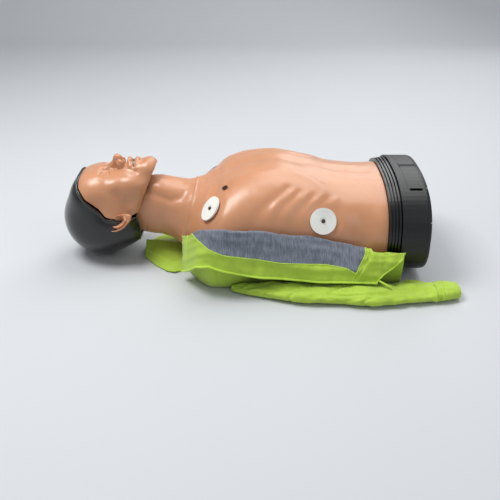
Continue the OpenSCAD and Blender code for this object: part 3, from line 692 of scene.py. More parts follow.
def egg(q, c, semi):
    d = q - np.array(c, float)
    k0 = np.linalg.norm(d / semi, axis=-1)
    k1 = np.linalg.norm(d / np.square(semi, dtype=float), axis=-1)
    return k0 * (k0 - 1) / np.maximum(k1, 1e-9)


def add(a, b, k):
    h = np.maximum(k - np.abs(a - b), 0) / k
    return np.minimum(a, b) - h * h * k / 4


def cut(a, b, k):
    h = np.maximum(k - np.abs(a + b), 0) / k
    return np.maximum(a, -b) + h * h * k / 4


LID_LINE = [(-27.5, 17.5), (-31.5, 22), (-33.8, 28), (-34, 34), (-31.5, 40), (-28, 44.5)]
FOLD_LINE = [(-19.5, 18), (-14.5, 25), (-13.2, 32), (-15.5, 39), (-20.5, 45)]


FACE = [  # how each shape joins the skull, the shape, its numbers and how soft the join is
    (add, egg, ((-40, 0, 43), (82, 57, 49)), 16),
    (add, capsule, ((-68, 45, 12), (-113, 13, 78), 14, 19), 16),
    (add, egg, ((-66, 36, 58), (34, 22, 22)), 16),                  # cheek
    (add, egg, ((-40, 42, 66), (17, 19, 15)), 12),                  # cheekbone
    (add, egg, ((-86, 0, 77), (31, 31, 24)), 15),                   # muzzle
    (add, egg, ((-119, 0, 83), (15, 18, 19)), 10),                  # chin
    (add, capsule, ((-9, 6, 88), (-7, 37, 81), 9.5, 8), 12),        # brow
    (cut, egg, ((-25, 31, 99), (13, 18, 12.5)), 8),                 # eye socket
    (cut, egg, ((-24, 14, 100), (9, 6, 9)), 6),
    (add, egg, ((-25, 31, 76), (14, 15.5, 13.6)), 2.6),             # eyeball under its lids
    (add, capsule, ((-18, 0, 86), (-48, 0, 104), 7.6, 8.2), 7),     # nose
    (add, egg, ((-52, 0, 111), (10, 9.4, 10)), 5),
    (add, egg, ((-57, 11.6, 101.5), (8.6, 6.2, 8.4)), 4),
    (add, capsule, ((-58, 0, 108), (-64, 0, 99), 4.4, 4), 3),
    (cut, capsule, ((-50, 10, 116), (-52, 15.4, 106), 1.2), 5),     # crease above the nostril
    (cut, capsule, ((-54, 19.2, 107), (-64, 17.6, 100), 1.0), 4),
    (cut, egg, ((-67.6, 7, 105), (5.6, 3.6, 5.2)), 1.6),            # nostril
    (cut, capsule, ((-67, 0, 109), (-76, 0, 112), 2.4), 5),         # groove of the upper lip
    (cut, capsule, ((-62, 25, 103), (-90, 33, 87), 2.2), 10),       # fold of the cheek
    (add, capsule, ((-78.6, 19.5, 94), (-77.2, 5, 103.2), 3.2, 4.6), 4),    # upper lip
    (add, capsule, ((-77.2, 5, 103.2), (-79.2, 0, 103), 4.6, 4.2), 3),
    (add, capsule, ((-93.5, 16.5, 94.5), (-95.2, 0, 102.2), 3.6, 5.6), 4),  # lower lip
    (cut, capsule, ((-105.5, 13, 103), (-105.5, 0, 106.6), 3.0), 8),
    (cut, ball, ((-86, 23.6, 97.5), 3.2), 5),                       # corner of the mouth
    (cut, egg, ((-2, 118, 44), (34, 36, 36)), 18),                  # temple
]


def face_form(q):
    """Distance of head points from the face, whose sides are alike."""
    q = np.stack([q[..., 0], np.abs(q[..., 1]), q[..., 2]], -1)
    d = skull(q)
    for join, shape, numbers, soft in FACE:
        d = join(d, shape(q, *numbers), soft)
    return d


def cast(start, direction):
    """How far from start, along unit directions, the face's surface lies."""
    t = np.full(direction.shape[:-1], RAY_REACH)
    live = np.ones(t.shape, bool)
    for _ in range(RAY_STEPS):
        q = start[live] + direction[live] * t[live][..., None]
        d = face_form(q)
        t[live] -= np.maximum(d, 0.0) * 0.8 + 0.004
        keep = (d > 0.01) & (t[live] > 4)
        where = np.flatnonzero(live.ravel())
        live.ravel()[where[~keep]] = False
        if not live.any():
            break
    return t


def blur(a, times):
    for _ in range(times):
        pad = np.concatenate([a[:1], a, a[-1:]])
        a = (pad[:-2] + 2 * pad[1:-1] + pad[2:]) / 4
    return a


def face_rays(u, turn):
    start = np.stack([u, 0 * u, 0 * u + AXIS_F], -1)
    return start, np.stack([0 * u, np.sin(turn), np.cos(turn)], -1)


def face_grid(rows, cols):
    """Outer side of half the face: rows run from the chin to the hairline."""
    turn = np.radians(105) * (np.linspace(0, 1, cols) * 0.82 + np.linspace(0, 1, cols) ** 2 * 0.18)
    u = np.arange(-140.0, 46.0, 1.2)
    uu, tt = np.meshgrid(u, turn[::3], indexing="ij")
    start, way = face_rays(uu, tt)
    r = cast(start, way)
    hit = inside(uu, AXIS_F + r * np.cos(tt), FACE_EDGE) & (r > 30)
    low, high = [], []
    for j in range(hit.shape[1]):
        k = np.argmin(np.abs(u + 58))
        a = b = k
        while a > 0 and hit[a - 1, j]:
            a -= 1
        while b < len(u) - 1 and hit[b + 1, j]:
            b += 1
        low.append(u[a])
        high.append(u[b])
    low = np.interp(turn, turn[::3], blur(np.array(low), 3))
    high = np.interp(turn, turn[::3], blur(np.array(high), 3))
    fine = np.linspace(-140, 46, 900)
    dense = (1 + 1.8 * bell(fine + 62, 7) + 1.3 * bell(fine + 86, 12) + 0.8 * bell(fine + 28, 14)
             + 1.0 * bell(fine + 130, 8))
    run = np.concatenate([[0], np.cumsum(dense[:-1])])
    t = np.linspace(0, 1, rows)[:, None]
    a, b = np.interp(low, fine, run), np.interp(high, fine, run)
    uu = np.interp(a + (b - a) * t, run, fine)
    tt = np.broadcast_to(turn, uu.shape)
    start, way = face_rays(uu, tt)
    r = cast(start, way)
    r = blur(r, 3)
    q = start + way * r[..., None]
    ahead = step(q[..., 2], 66, 76)
    for line, deep, width in ((LID_LINE, 1.3, 0.95), (FOLD_LINE, 0.9, 1.2)):
        d, run = along(q[..., 0], q[..., 1], line)
        r = r - deep * bell(d, width) * ahead * (1 - 0.5 * np.abs(2 * run - 1) ** 3)
    d, run = along(q[..., 0] + 1.9, q[..., 1], LID_LINE)
    r = r + 0.6 * bell(d - 0.4, 1.0) * ahead
    return start + way * r[..., None], way


MOUTH_AT, MOUTH_WIDE, MOUTH_TALL = -86.2, 20.5, 3.7     # place and half sizes
FACE_FRONT = 60                                          # the mouth lies in front of this
# place and half sizes of the nostrils' pits, whose faces are painted near-black as painted shade
NOSTRIL_AT, NOSTRIL_SEMI = (-65.4, 7.0, 103.5), (2.6, 3.0, 5.5)


class BuildFace(Piece, bpy.types.Operator):
    """Sculpts the soft face with its closed eyes and open mouth"""
    bl_idname = "manikin.face"
    bl_label = "Face"

    def build(self, s, m):
        half, way = face_grid(330, 230)
        flip = np.array([1.0, -1.0, 1.0])
        q = np.concatenate([half[:, :0:-1] * flip, half], 1)
        way = np.concatenate([way[:, :0:-1] * flip, way], 1)
        rows, cols = q.shape[:2]
        # The mouth: its walls go in towards the axis, and its floor is open
        gape = (q[..., 1] / MOUTH_WIDE) ** 2 + ((q[..., 0] - MOUTH_AT) / MOUTH_TALL) ** 2
        ahead = q[..., 2] > FACE_FRONT
        inward = step(1.12 - gape, 0.0, 0.22) * ahead
        outer = q - np.array([0.0, 0.0, 1.0]) * (inward * 13.0)[..., None]
        n = grid_normals(q)
        if (n * way).sum() < 0:
            n = -n
        n = np.stack([blur(n[..., k], 3) for k in range(3)], -1)
        inner = q - n / np.linalg.norm(n, axis=-1, keepdims=True) * (s.face_wall / MM)
        outer = head_place(outer)
        inner = head_place(inner)
        count = rows * cols
        faces, tags = [], []
        # Faces in the nostrils' pits and deep on the mouth's inward walls take tag 1, the
        # near-black painted shade
        open_here, near = (gape < 0.8) & ahead, (gape < 1.25) & ahead
        apart = np.stack([q[..., 0], np.abs(q[..., 1]), q[..., 2]], -1) - NOSTRIL_AT
        pit = ((apart / NOSTRIL_SEMI) ** 2).sum(-1) < 1
        for i in range(rows - 1):
            for j in range(cols - 1):
                f = (i * cols + j, i * cols + j + 1, (i + 1) * cols + j + 1, (i + 1) * cols + j)
                block = (slice(i, i + 2), slice(j, j + 2))
                if not open_here[block].all():
                    faces.append(f)
                    tags.append(1 if pit[block].all() or inward[block].mean() > 0.85 else 0)
                if not near[block].any():
                    faces.append(tuple(count + k for k in f[::-1]))
                    tags.append(0)
        ring = rim(rows, cols)
        for a, b in zip(ring, ring[1:] + ring[:1]):
            faces.append((b, a, count + a, count + b))
            tags.append(0)
        verts = np.concatenate([outer.reshape(-1, 3), inner.reshape(-1, 3)])
        way_row = head_place(q + way) - head_place(q)
        middle = rows // 2 * cols + cols // 2
        faces = outwards(verts, faces, (middle, middle + 1, middle + cols),
                         way_row[rows // 2, cols // 2])
        obj = add_mesh("face", verts, faces, [m["skin"], m["painted_shade"]], tags)
        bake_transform(obj)
        flat = q.reshape(-1, 3)
        chin = step(-flat[:, 0], 84.5, 92) * step(flat[:, 2], 20, 66)
        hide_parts("face_skin")


def ear_height(a, b):
    """Relief of an ear over its plane; a runs to its top, b to its back."""
    h = 2.6 + 0 * a
    for path, size, width in [
            ([(15, -4), (12, 4), (4, 8.5), (-7, 8), (-15, 3)], 4.2, 2.9),      # antihelix
            ([(22, 2), (15, 4), (9, 6.4)], 2.6, 2.4),
            ([(3, -15.5), (4.4, -9), (3.4, -3)], 3.2, 2.2),                    # root of the helix
            ([(-3, -14.6), (-9.5, -13.2)], 4.6, 3.0),                          # tragus
            ([(-15.4, -3.4), (-16, 1)], 3.0, 3.0)]:
        d, _ = along(a, b, path)
        h = h + size * bell(d, width)
    h = h - 8.0 * bell(np.hypot((a + 5) / 9.6, (b + 3.5) / 7.4), 1.0) ** 1.4
    h = h - 5.0 * bell(np.hypot((a - 8) / 5.4, (b + 5) / 6.5), 1.0)
    h = h - 3.4 * bell(np.hypot((a - 18) / 3.6, (b + 3) / 5.5), 1.0)
    return h + 2.2 * bell(np.hypot(a + 24.5, b + 3), 6.5)


EAR_AT = (-38.0, 79.5, -5.0)
EAR_LEAN, EAR_FLARE = math.radians(16), math.radians(24)


class BuildEars(Piece, bpy.types.Operator):
    """Sculpts both ears, which lie over the hair"""
    bl_idname = "manikin.ears"
    bl_label = "Ears"

    def build(self, s, m):
        rho = np.concatenate([np.linspace(0.01, 1, 56), [1.02, 1.015, 0.98, 0.93, 0.86, 0.8, 0.76]])
        drop = np.concatenate([np.zeros(56), [1.2, 2.6, 4.2, 6.2, 9, 12, 16]])
        turn = np.radians(np.arange(0, 360, 1.8))
        rr, pp = np.meshgrid(rho, turn, indexing="ij")
        a = 30.5 * rr * np.cos(pp)
        b = (15.6 + 3.2 * np.cos(pp)) * rr * np.sin(pp) - 2.2 * np.clip(-np.cos(pp), 0, 1) * rr
        h = ear_height(a, b)
        # The helix runs round the top and back, and thins out in the lobe
        angle = np.degrees(np.where(pp > np.pi, pp - 2 * np.pi, pp))
        helix = step(angle, -86, -60) * step(160 - angle, 0, 40)
        h = h + (4.6 * bell(rr - 0.9, 0.085) - 1.6 * bell(rr - 0.74, 0.07)) * helix
        h = h - 1.6 * step(rr, 0.93, 1.0)
        h = h - drop[:, None]
        long = np.array([math.cos(EAR_LEAN), 0, -math.sin(EAR_LEAN)])
        back = np.array([-math.sin(EAR_LEAN), 0, -math.cos(EAR_LEAN)])
        for side, name in ((1, "ear_right"), (-1, "ear_left")):
            out = np.array([0.0, side, 0.0])
            across = back * math.cos(EAR_FLARE) + out * math.sin(EAR_FLARE)
            normal = out * math.cos(EAR_FLARE) - back * math.sin(EAR_FLARE)
            q = (np.array(EAR_AT) * (1, side, 1) + a[..., None] * long
                 + b[..., None] * across + h[..., None] * normal)
            grid = head_place(q)
            faces = grid_faces(*grid.shape[:2], closed=True, flip=side > 0)
            obj = add_mesh(name, grid.reshape(-1, 3), faces, [m["skin"]])
            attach(obj, "head")


HAIR_PROUD, HAIR_WALL = 3.1, 4


class BuildHair(Piece, bpy.types.Operator):
    """Sculpts the hard glossy hair shell with its raised edge"""
    bl_idname = "manikin.hair"
    bl_label = "Hair shell"

    def build(self, s, m):
        pole = np.array([0.25, 0.0, -0.97])
        pole /= np.linalg.norm(pole)
        east = np.array([0.0, 1.0, 0.0])
        north = np.cross(pole, east)
        turn = np.radians(np.arange(0, 360, 0.75))
        bow = np.radians(np.arange(0.5, 176, 0.7))
        bb, tt = np.meshgrid(bow, turn, indexing="ij")

        def direction(bb, tt):
            return (np.cos(bb)[..., None] * pole + np.sin(bb)[..., None]
                    * (np.cos(tt)[..., None] * north + np.sin(tt)[..., None] * east))

        d = direction(bb, tt)
        q = SKULL_AT + d * (SKULL(d) + 3)[..., None]
        hit = inside(q[..., 0], q[..., 2], HAIR_EDGE)
        first = np.argmin(hit, axis=0)
        reach = bow[np.maximum(first - 1, 1)]
        wrap = np.concatenate([reach[-12:], reach, reach[:12]])
        reach = blur(wrap, 8)[12:-12]
        t = np.concatenate([[0.004], np.linspace(0.02, 0.9, 130), np.linspace(0.903, 1, 60)])
        bb = reach[None] * t[:, None]
        tt = np.broadcast_to(turn, bb.shape)
        d = direction(bb, tt)
        edge = (reach[None] - bb) * 90          # millimetres from the edge
        raised = 1.5 * bell(edge - 3.2, 2.6) - 2.4 * step(-edge, -1.6, 0.2)
        q = SKULL_AT + d * (SKULL(d) + HAIR_PROUD + raised)[..., None]
        q = q + d * (0.25 * ripple(q, 90, 12, 2))[..., None]
        inner = SKULL_AT + d * (SKULL(d) + HAIR_PROUD - HAIR_WALL)[..., None]
        rows, cols = q.shape[:2]
        count = rows * cols
        faces = grid_faces(rows, cols, True) + grid_faces(rows, cols, True, count, True)
        for j in range(cols):
            k = (j + 1) % cols
            last = (rows - 1) * cols
            faces.append((last + j, last + k, count + last + k, count + last + j))
        verts = np.concatenate([head_place(q).reshape(-1, 3), head_place(inner).reshape(-1, 3)])
        outward = head_place(q[5, 0] + d[5, 0]) - head_place(q[5, 0])
        faces = outwards(verts, faces, (5 * cols, 5 * cols + 1, 6 * cols), outward)
        obj = add_mesh("hair", verts, faces, [m["hair"]])
        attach(obj, "head")
        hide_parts("hair_shell")


# ------------------------------------------------------------------- jacket

FOLD_Z = ([1.2, 2, 3, 4, 5, 6, 7, 8, 9, 10, 10.5],
          [84, 88, 102, 116, 122, 130, 137, 134, 122, 96, 84])
ZIP_Y = ([1.2, 4, 6, 7, 8, 9, 10, 10.5], [210, 212, 214, 216, 212, 200, 160, 136])
ZIP_Z = ([1.2, 3, 4, 5, 6, 7, 8, 9, 10, 10.5], [32, 36, 38, 44, 52, 64, 72, 66, 34, 20])
HEM_X = -24.0
LINED = (-466, -101)         # x between which a front shows its lining


def between(a, b, t):
    return a * (1 - t) + b * t


def body_side(p):
    wide = np.maximum(station(p)[..., 1], station(np.maximum(p - 0.6, 0))[..., 1])
    wide = np.maximum(wide, np.where(p < 1.8, 174, 0))
    return wide + np.interp(p, [5.6, 6.2, 7.9, 8.6], [0, 6.5, 6.5, 1])


def beside(p, z):
    s = station(p)
    h = np.clip((z - s[..., 3]) / (s[..., 4] - s[..., 3]), 0, 0.98)
    n = 2.5 - 0.4 * np.clip((p - 7) / 3, 0, 1)
    return body_side(p) * (1 - h ** n) ** (1 / n)


def cloth_points(p):
    """The jacket front at station p: from under the back, up the side, over and outwards."""
    w = body_side(p)
    f, y, z = (np.interp(p, *table) for table in (FOLD_Z, ZIP_Y, ZIP_Z))
    t = beside(p, f) + 3
    mid = [between(78, f, k) for k in (0.3, 0.7)]
    return np.array([
        [w - 20, 1.7], [w - 12, 12], [w - 4, 30], [w + 2.8, 58],
        [beside(p, mid[0]) + 3.4, mid[0]], [beside(p, mid[1]) + 3.6, mid[1]],
        [t + 1.5, f - 1], [t + 6, f + 4], [t + 12, f + 4],
        *[[between(t + 14, y, k), between(f, z, j)]
          for k, j in ((0.2, 0.1), (0.45, 0.3), (0.68, 0.55), (0.86, 0.8))], [y, z]], float)


def station_at(x):
    table = np.linspace(0, 14, 1401)
    xs = station(table)[:, 0]
    return np.interp(-np.asarray(x, float), -xs, table)


FOLD = 7.2          # place on the path: top of the fold
SEAM, COLUMNS = 109, 160          # column where the lining ends, and how many there are
LINING_Z = ([-480, -456, -392, -277, -181, -130, -104, -60, -20],
            [128, 118, 97, 76, 70, 61, 52, 60, 66])          # height where the lining ends, by x


def front_grid(side):
    """Plain shape of a front, its rows' x and its columns' blocks: up, lining and facing."""
    x = np.concatenate([np.linspace(HEM_X, -440, 190), np.linspace(-442, -480, 24)])
    fine = np.linspace(FOLD, 13, 200)
    rows = []
    for value in x:
        p = max(float(station_at(value)), 1.22)
        points = cloth_points(p)
        z = smooth_path(points, fine)[:, 1]
        end = np.interp(-np.interp(value, *LINING_Z), -z, fine)
        end = min(max(end, FOLD + 0.5), 12.4)
        v = np.concatenate([np.linspace(0, FOLD, 54), np.linspace(FOLD + 0.06, end, 56),
                            np.linspace(end + 0.04, 13, 50)])
        q = smooth_path(points, v)
        rows.append(np.column_stack([np.full(len(v), value), side * q[:, 0], q[:, 1], v]))
    rows = np.array(rows)
    # The hem runs aslant: its lower corner lies further from the hips
    v = rows[..., 3]
    near = np.clip(1 - (HEM_X - rows[..., 0]) / 190, 0, 1)
    rows[..., 0] -= (52 * step(v, 8.4, 13.0) * near ** 1.3 + 5 * step(v, 7, 8) * near)
    return rows[..., :3], x, v


def front_folds(grid, v, side):
    """How far the front's cloth stands off its plain shape."""
    x = grid[..., 0]
    free = step(v, FOLD - 1.2, FOLD + 0.8)
    hem = step(x, -108, -60)
    seed = 20 if side < 0 else 33

    def wave(stretch_x, stretch_v, scale, seed, octaves=3):
        return ripple(np.stack([x * stretch_x, v * stretch_v, 0 * x], -1), scale, seed, octaves)

    h = 1.6 * (1 - free) * step(v, 0.4, 1.4) * wave(0.8, 14, 60, seed + 7)
    h += free * 2.3 * wave(0.55, 26, 92, seed)
    h += free * 1.2 * wave(1.3, 12, 46, seed + 1)
    # Puckers along the zip edge, the lining's seam and the hem
    drive = wave(1, 3, 15, seed + 2, 2)
    h += 0.9 * drive * (bell(v - 12.6, 0.7) + 0.8 * bell(v - v[:, [SEAM]], 0.35)) * free
    h += 1.2 * wave(2, 22, 30, seed + 4, 2) * hem * free
    # A long fold down the facing and a few that run across from the fold of the panel
    h += free * 2.6 * bell(v - 11.2 - 0.35 * np.sin(x / 46.0), 0.42) * step(-x, 90, 150)
    for at, lean, high in ((-150, 14, 2.4), (-212, -10, 1.8), (-268, 12, 2.6), (-330, -8, 2.0),
                           (-392, 16, 2.8)):
        h += free * high * bell(x - at - lean * (v - 10), 9) * bell(v - 9.6, 2.2)
    return h


class BuildFronts(Piece, bpy.types.Operator):
    """Drapes both jacket fronts: up the side of the chest, over and outwards, lining up"""
    bl_idname = "manikin.fronts"
    bl_label = "Jacket fronts"

    def build(self, s, m):
        for side, name in ((-1, "right"), (1, "left")):
            grid, x, v = front_grid(side)
            n = grid_normals(grid)
            n = n if n[100, -20, 2] > 0 else -n
            grid = grid + n * front_folds(grid, v, side)[..., None]
            sag = 2.2 * ripple(grid * np.array([1.0, 0, 0]), 120, 50 + side)
            grid[..., 1] += side * sag * step(v, 11.0, 13.0)
            grid[..., 2] = np.maximum(grid[..., 2], 3.0)
            columns = np.arange(COLUMNS)
            if grid_normals(grid)[100, -20, 2] < 0:
                grid, v, columns = grid[:, ::-1], v[:, ::-1], columns[::-1]
            n = grid_normals(grid)
            verts, faces, tags = shell(grid, s.cloth / MM, normals=n)
            index, count = [], grid.shape[0] * COLUMNS
            for f, tag in zip(faces, tags):
                i, j = divmod(min(f) % count, COLUMNS)
                lined = columns[j] < SEAM and LINED[0] < x[i] < LINED[1]
                index.append(1 if tag == 0 and lined else 0)
            obj = add_mesh(f"jacket_{name}", verts, faces, [m["lime"], m["lining"]], index)
            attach(obj, "torso")
            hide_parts(f"jacket_front_{name}", f"jacket_hem_{name}")
            at = {int(c): k for k, c in enumerate(columns)}
            zip_line = grid[:, at[COLUMNS - 1]] + n[:, at[COLUMNS - 1]] * 0.4
            tail = np.array([[-78, 206, 37], [-66, 216, 34.5], [-55, 225, 31]]) * [1, side, 1]
            zip_line = np.concatenate([tail[::-1], zip_line])
            trim = [tube(zip_line, 2.2, 10)]
            line = grid[:, at[SEAM]] + n[:, at[SEAM]] * 0.3
            trim.append(tube(line[(x < LINED[1]) & (x > LINED[0])], 0.9, 8))
            across = [at[c] for c in range(50, COLUMNS)]
            for end in LINED[::-1]:
                row = int(np.argmin(np.abs(x - end)))
                trim.append(tube((grid[row] + n[row] * 0.3)[across], 0.8, 8))
            trim.append(tube(grid[0, across], 1.5, 8))
            band = add_mesh(f"piping_{name}", *merge(trim), [m["piping"]])
            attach(band, "torso")


ARM = [[-376, 184.5, 8, 16], [-350, 194, 14, 22], [-300, 203, 25, 26], [-232, 211, 34, 27],
       [-110, 220, 39, 28], [-60, 219, 37, 28], [-9, 211, 38, 28], [39.6, 209, 30, 25]]
CUFF = [[40, 209, 30, 26], [52, 207, 31, 28], [78, 205, 25, 28], [88, 204, 20, 26]]


def arm_grid(table, x, side):
    """A flattened sleeve's outer side and its normals, at each x of a table of x, distance
    from the middle, half width and height."""
    a = np.radians(np.arange(110) * 360 / 110)
    table, rows = np.array(table, float), []
    for value in x:
        y, w, h = (np.interp(value, table[:, 0], table[:, k]) for k in (1, 2, 3))
        yy = side * y + w * np.sign(np.cos(a)) * np.abs(np.cos(a)) ** 0.9
        zz = h / 2 + h / 2 * np.sign(np.sin(a)) * np.abs(np.sin(a)) ** 0.8
        rows.append(np.column_stack([np.full(len(a), value), yy, zz]))
    grid = np.array(rows)
    n = grid_normals(grid, True)
    return grid, n if ((grid - grid.mean(1, keepdims=True)) * n).sum() > 0 else -n


class BuildSleeves(Piece, bpy.types.Operator):
    """Lays both empty sleeves beside the body, crumpled flat, with their cuffs"""
    bl_idname = "manikin.sleeves"
    bl_label = "Sleeves and cuffs"

    def build(self, s, m):
        for side, name in ((-1, "right"), (1, "left")):
            seed = 60 + side
            x = np.concatenate([np.linspace(-375.5, -360, 14), np.linspace(-358, 39, 290)])
            grid, n = arm_grid(ARM, x, side)
            xx, yy, zz = grid[..., 0], grid[..., 1], grid[..., 2]
            skew = np.stack([xx * 0.42 + side * yy * 0.5, yy * 1.5, zz * 0.6], -1)
            h = 2.6 * ripple(skew, 52, seed)
            skew = np.stack([xx * 0.9 - side * yy * 0.7, yy, zz], -1)
            h += 1.4 * ripple(skew, 26, seed + 1, 2)
            skew = np.stack([xx * 0.5 + side * yy * 0.8, yy, 0 * zz], -1)
            h -= 3.2 * bell(np.abs(ripple(skew, 58, seed + 2, 1)), 0.16)
            h += 1.4 * bell(xx - 34, 5) - 2.0 * bell(xx - 22, 8)
            h = h * step(zz, 2, 10) - 1.2
            self.lay(f"sleeve_{name}", grid + n * h[..., None], 0.6, [m["lime"]])
            grid, n = arm_grid(CUFF, np.linspace(39.5, 87.5, 70), side)
            xx, yy, zz = grid[..., 0], grid[..., 1], grid[..., 2]
            turn = np.arctan2((zz - 13) * 2.0, yy - side * 207)
            h = 0.9 * np.sin(turn * 34 + 1.5 * np.sin(turn * 5)) * bell(xx - 44, 9)
            h += 1.3 * ripple(grid, 24, seed + 5, 2) * step(zz, 2, 9)
            h += 0.9 * (bell(xx - 52, 1.1) + bell(xx - 79, 1.1)) - 1.3 * bell(xx - 55, 1.2)
            # The cuff's mouth takes the near-black painted shade as its second material
            self.lay(f"cuff_{name}", grid + n * (h - 0.8)[..., None], 0.5, [m["lime"], m["painted_shade"]])

    def lay(self, name, grid, low, materials):
        """Closes the tube's ends and lays it on the floor; an end with a second material is a mouth
        that goes in, with near-black painted shade at its bottom."""
        grid[..., 2] = np.clip(grid[..., 2], low, 40)
        rows, cols = grid.shape[:2]
        verts, faces = list(grid.reshape(-1, 3)), grid_faces(rows, cols, closed=True)
        index = [0] * len(faces)
        for row, forward in ((0, True), (rows - 1, False)):
            centre = grid[row].mean(0)
            deep = 12.0 if len(materials) > 1 and row else 0.0
            rings = [(0.9, 0.0, 0), (0.78, deep, 0), (0.1, deep, 1)] if deep else [(0.5, 0.0, 0)]
            before = [row * cols + j for j in range(cols)]
            for scale, depth, mat in rings:
                ring = centre + (grid[row] - centre) * scale
                ring[:, 0] -= depth
                now = [len(verts) + j for j in range(cols)]
                verts += list(ring)
                for j in range(cols):
                    k = (j + 1) % cols
                    f = (before[j], before[k], now[k], now[j])
                    faces.append(f[::-1] if forward else f)
                    index.append(mat)
                before = now
            verts.append(centre - np.array([rings[-1][1], 0, 0]))
            for j in range(cols):
                f = (before[j], before[(j + 1) % cols], len(verts) - 1)
                faces.append(f[::-1] if forward else f)
                index.append(rings[-1][2])
        away = grid[20, 0] - grid[20].mean(0)
        faces = outwards(verts, faces, (20 * cols, 20 * cols + 1, 21 * cols), -away)
        obj = add_mesh(name, verts, [f[::-1] for f in faces], materials, index)
        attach(obj, "torso")
        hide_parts(f"jacket_{name}")


COLLAR = [[-470, 92, 8], [-500, 110, 16], [-517, 104, 20], [-545, 76, 24], [-572, 40, 24]]


class BuildBackAndCollar(Piece, bpy.types.Operator):
    """Lays the jacket's back panel under the body and its collar under the neck"""
    bl_idname = "manikin.collar"
    bl_label = "Jacket back and collar"

    def build(self, s, m):
        table = np.array(COLLAR, float)
        x = np.linspace(-574, -468, 110)
        t = np.linspace(-1, 1, 240)
        xx, tt = np.meshgrid(x, t, indexing="ij")
        half, rise = (np.interp(-xx, -table[:, 0], table[:, k]) for k in (1, 2))
        bank = step(np.abs(tt), 0.2, 1.0)
        grid = np.stack([xx, tt * half, 2.6 + rise * (1 - np.abs(tt)) ** 1.4], -1)
        h = 1.6 * ripple(grid * np.array([0.9, 0.6, 0]), 48, 71) * bank
        h += 1.8 * bell(np.abs(tt) - 0.62 - 0.002 * (xx + 520), 0.07)
        h += 1.5 * bell(xx + 571, 3.2) + 0.9 * bell(xx + 552, 1.6)
        grid[..., 2] = np.maximum(grid[..., 2] + h, 2.6)
        verts, faces, _ = shell(grid, 2.2)
        if np.cross(grid[1, 0] - grid[0, 0], grid[0, 1] - grid[0, 0])[2] < 0:
            faces = [f[::-1] for f in faces]
        obj = add_mesh("collar", verts, faces, [m["lime"]])
        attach(obj, "torso")
        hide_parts("jacket_collar")
        x = np.linspace(-476, -30, 150)
        t = np.linspace(-1, 1, 60)
        xx, tt = np.meshgrid(x, t, indexing="ij")
        half = np.array([body_side(np.array(max(float(station_at(v)), 1.22))) for v in x]) - 23.6
        grid = np.stack([xx, tt * half[:, None], 1.9 + 0.12 * ripple(
            np.stack([xx, tt * 160, 0 * xx], -1), 50, 81)], -1)
        verts, faces, _ = shell(grid, 1.7, bulge=0.0)
        obj = add_mesh("jacket_back_panel", verts, faces, [m["lining"]])
        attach(obj, "torso")
        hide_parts("jacket_back")


# -------------------------------------------------------------- other nodes

NODE_LOOKS = {
    "back": ["back_shell"],
    "frame": ["neck_bracket", "skull_plates", "skull_keel"],
    "steel": ["tilt_pin", "guide_screws", "return_spring", "cover_screws", "flap_pins",
              "usb_socket", "battery_springs", "keel_screws", "jaw_pin"],
    "inner": ["guide_tube", "plunger_tube", "sternum_plate", "mandible", "mouthpiece"],
    "pad": ["chest_pad"],
    "board": ["depth_sensor"],
    "ring": ["waist_ring"],
    "black": ["hip_casing", "end_cover", "control_tray", "battery_tray", "control_flap",
              "battery_flap", "shoulder_cap_right", "shoulder_cap_left"],
    "foot": ["floor_pad"],
    "button": ["power_button"],
    "lens": ["status_lens"],
    "cell": ["battery_cells"],
    "white": ["electrode_disc_upper", "electrode_disc_lower"],
    "stud": ["snap_stud"],
}
STUD_REACH = 0.0044         # how far from a disc's axis its stud and the ring round it go


class DressNodes(Piece, bpy.types.Operator):
    """Gives each CAD piece that shows its material"""
    bl_idname = "manikin.nodes"
    bl_label = "Hard pieces"

    def build(self, s, m):
        for look_name, names in NODE_LOOKS.items():
            for name in names:
                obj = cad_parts[name]
                obj.data.materials.clear()
                obj.data.materials.append(m[look_name])
        # Each disc's snap stud and the ring round it are brown
        for name in ("electrode_disc_upper", "electrode_disc_lower"):
            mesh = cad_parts[name].data
            mesh.materials.append(m["stud"])
            points = np.array([v.co for v in mesh.vertices])
            points = points - points.mean(0)
            flat = points @ np.linalg.svd(points, full_matrices=False)[2][:2].T
            out = np.linalg.norm(flat - (flat.min(0) + flat.max(0)) / 2, axis=1)
            for polygon in mesh.polygons:
                if out[list(polygon.vertices)].max() < STUD_REACH:
                    polygon.material_index = 1


# -------------------------------------------------------------------- stage

CAMERA_PLACE = (-0.337, -1.4238, 0.7364)
CAMERA_PITCH = 27.35        # degrees down from level
LAMPS = [  # name, place, what it faces, watts and width
    ("stage_key", (-1.3, -0.2, 2.2), (-0.35, 0, 0.05), 40, 1.0),
    ("stage_fill", (1.7, -1.7, 1.5), (-0.25, 0, 0.05), 9, 1.6),
    ("stage_top", (0.1, 0.9, 2.3), (-0.3, 0, 0.1), 24, 1.6),
    ("stage_rim", (0.7, 2.1, 1.5), (-0.3, 0, 0.15), 14, 1.4),
]


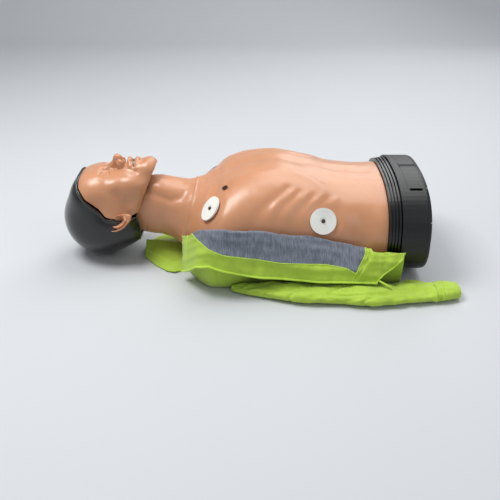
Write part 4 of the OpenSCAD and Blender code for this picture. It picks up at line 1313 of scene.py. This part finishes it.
class BuildStage(Piece, bpy.types.Operator):
    """Sets the camera, the pale floor and the soft studio lights"""
    bl_idname = "manikin.stage"
    bl_label = "Camera, floor and lights"

    def build(self, s, m):
        g = Graph("Floor", Roughness=0.6, Specular_IOR_Level=0.2)
        base = linear(s.floor_colour)
        tone = g.noise(1.2, 2.0)
        floor_mat = g.set(Base_Color=g.mix(tone, shade(base, 0.96), shade(base, 1.02)))
        size, back, bend = 6.0, 2.4, 0.8
        path = [(-size, 0.0), (back, 0.0)]
        for k in range(1, 13):
            a = math.radians(7.5 * k)
            path.append((back + bend * math.sin(a), bend * (1 - math.cos(a))))
        path.append((back + bend, 4.5))
        grid = np.array([[[x, y, z - 0.0006] for x in (-size, size)] for y, z in path]) / MM
        floor = add_mesh("stage_floor", grid.reshape(-1, 3), grid_faces(len(path), 2), [floor_mat])
        for name, place, target, power, width in LAMPS:
            light = bpy.data.lights.new(name, "AREA")
            light.energy = power
            light.size = width
            lamp = bpy.data.objects.new(name, light)
            lamp.location = place
            aim = Vector(target) - Vector(place)
            lamp.rotation_euler = aim.to_track_quat("-Z", "Y").to_euler()
            bpy.context.collection.objects.link(lamp)
        scene = bpy.context.scene
        world = scene.world or bpy.data.worlds.new("World")
        scene.world = world
        world.use_nodes = True
        sky = world.node_tree.nodes["Background"]
        sky.inputs["Color"].default_value = (0.93, 0.96, 1.0, 1.0)
        sky.inputs["Strength"].default_value = 0.42
        camera = bpy.data.cameras.new("Camera")
        camera.lens = 50
        camera.sensor_width = 36
        eye = bpy.data.objects.new("Camera", camera)
        eye.location = CAMERA_PLACE
        eye.rotation_euler = (math.radians(90 - CAMERA_PITCH), 0, 0)
        bpy.context.collection.objects.link(eye)
        scene.camera = eye
        scene.render.resolution_x = 1000
        scene.render.resolution_y = 1000
        scene.view_settings.view_transform = "Standard"


STEPS = (BuildTorso, BuildNeck, BuildFace, BuildEars, BuildHair, BuildFronts, BuildSleeves,
         BuildBackAndCollar, DressNodes, BuildStage)


class ManikinPanel(bpy.types.Panel):
    """Sizes, colours and one button for each piece"""
    bl_idname = "VIEW3D_PT_manikin"
    bl_label = "Training manikin"
    bl_space_type = "VIEW_3D"
    bl_region_type = "UI"
    bl_category = "Manikin"

    def draw(self, context):
        for name in ManikinSettings.__annotations__:
            self.layout.prop(context.scene.manikin, name)
        for operator in STEPS:
            self.layout.operator(operator.bl_idname)


CLASSES = (ManikinSettings, *STEPS, ManikinPanel)


def register():
    for item in CLASSES:
        bpy.utils.register_class(item)
    bpy.types.Scene.manikin = PointerProperty(type=ManikinSettings)


def unregister():
    del bpy.types.Scene.manikin
    for item in reversed(CLASSES):
        bpy.utils.unregister_class(item)


def main():
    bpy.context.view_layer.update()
    register()
    for step_class in STEPS:
        group, name = step_class.bl_idname.split(".")
        getattr(getattr(bpy.ops, group), name)()


if __name__ == "__main__":
    main()
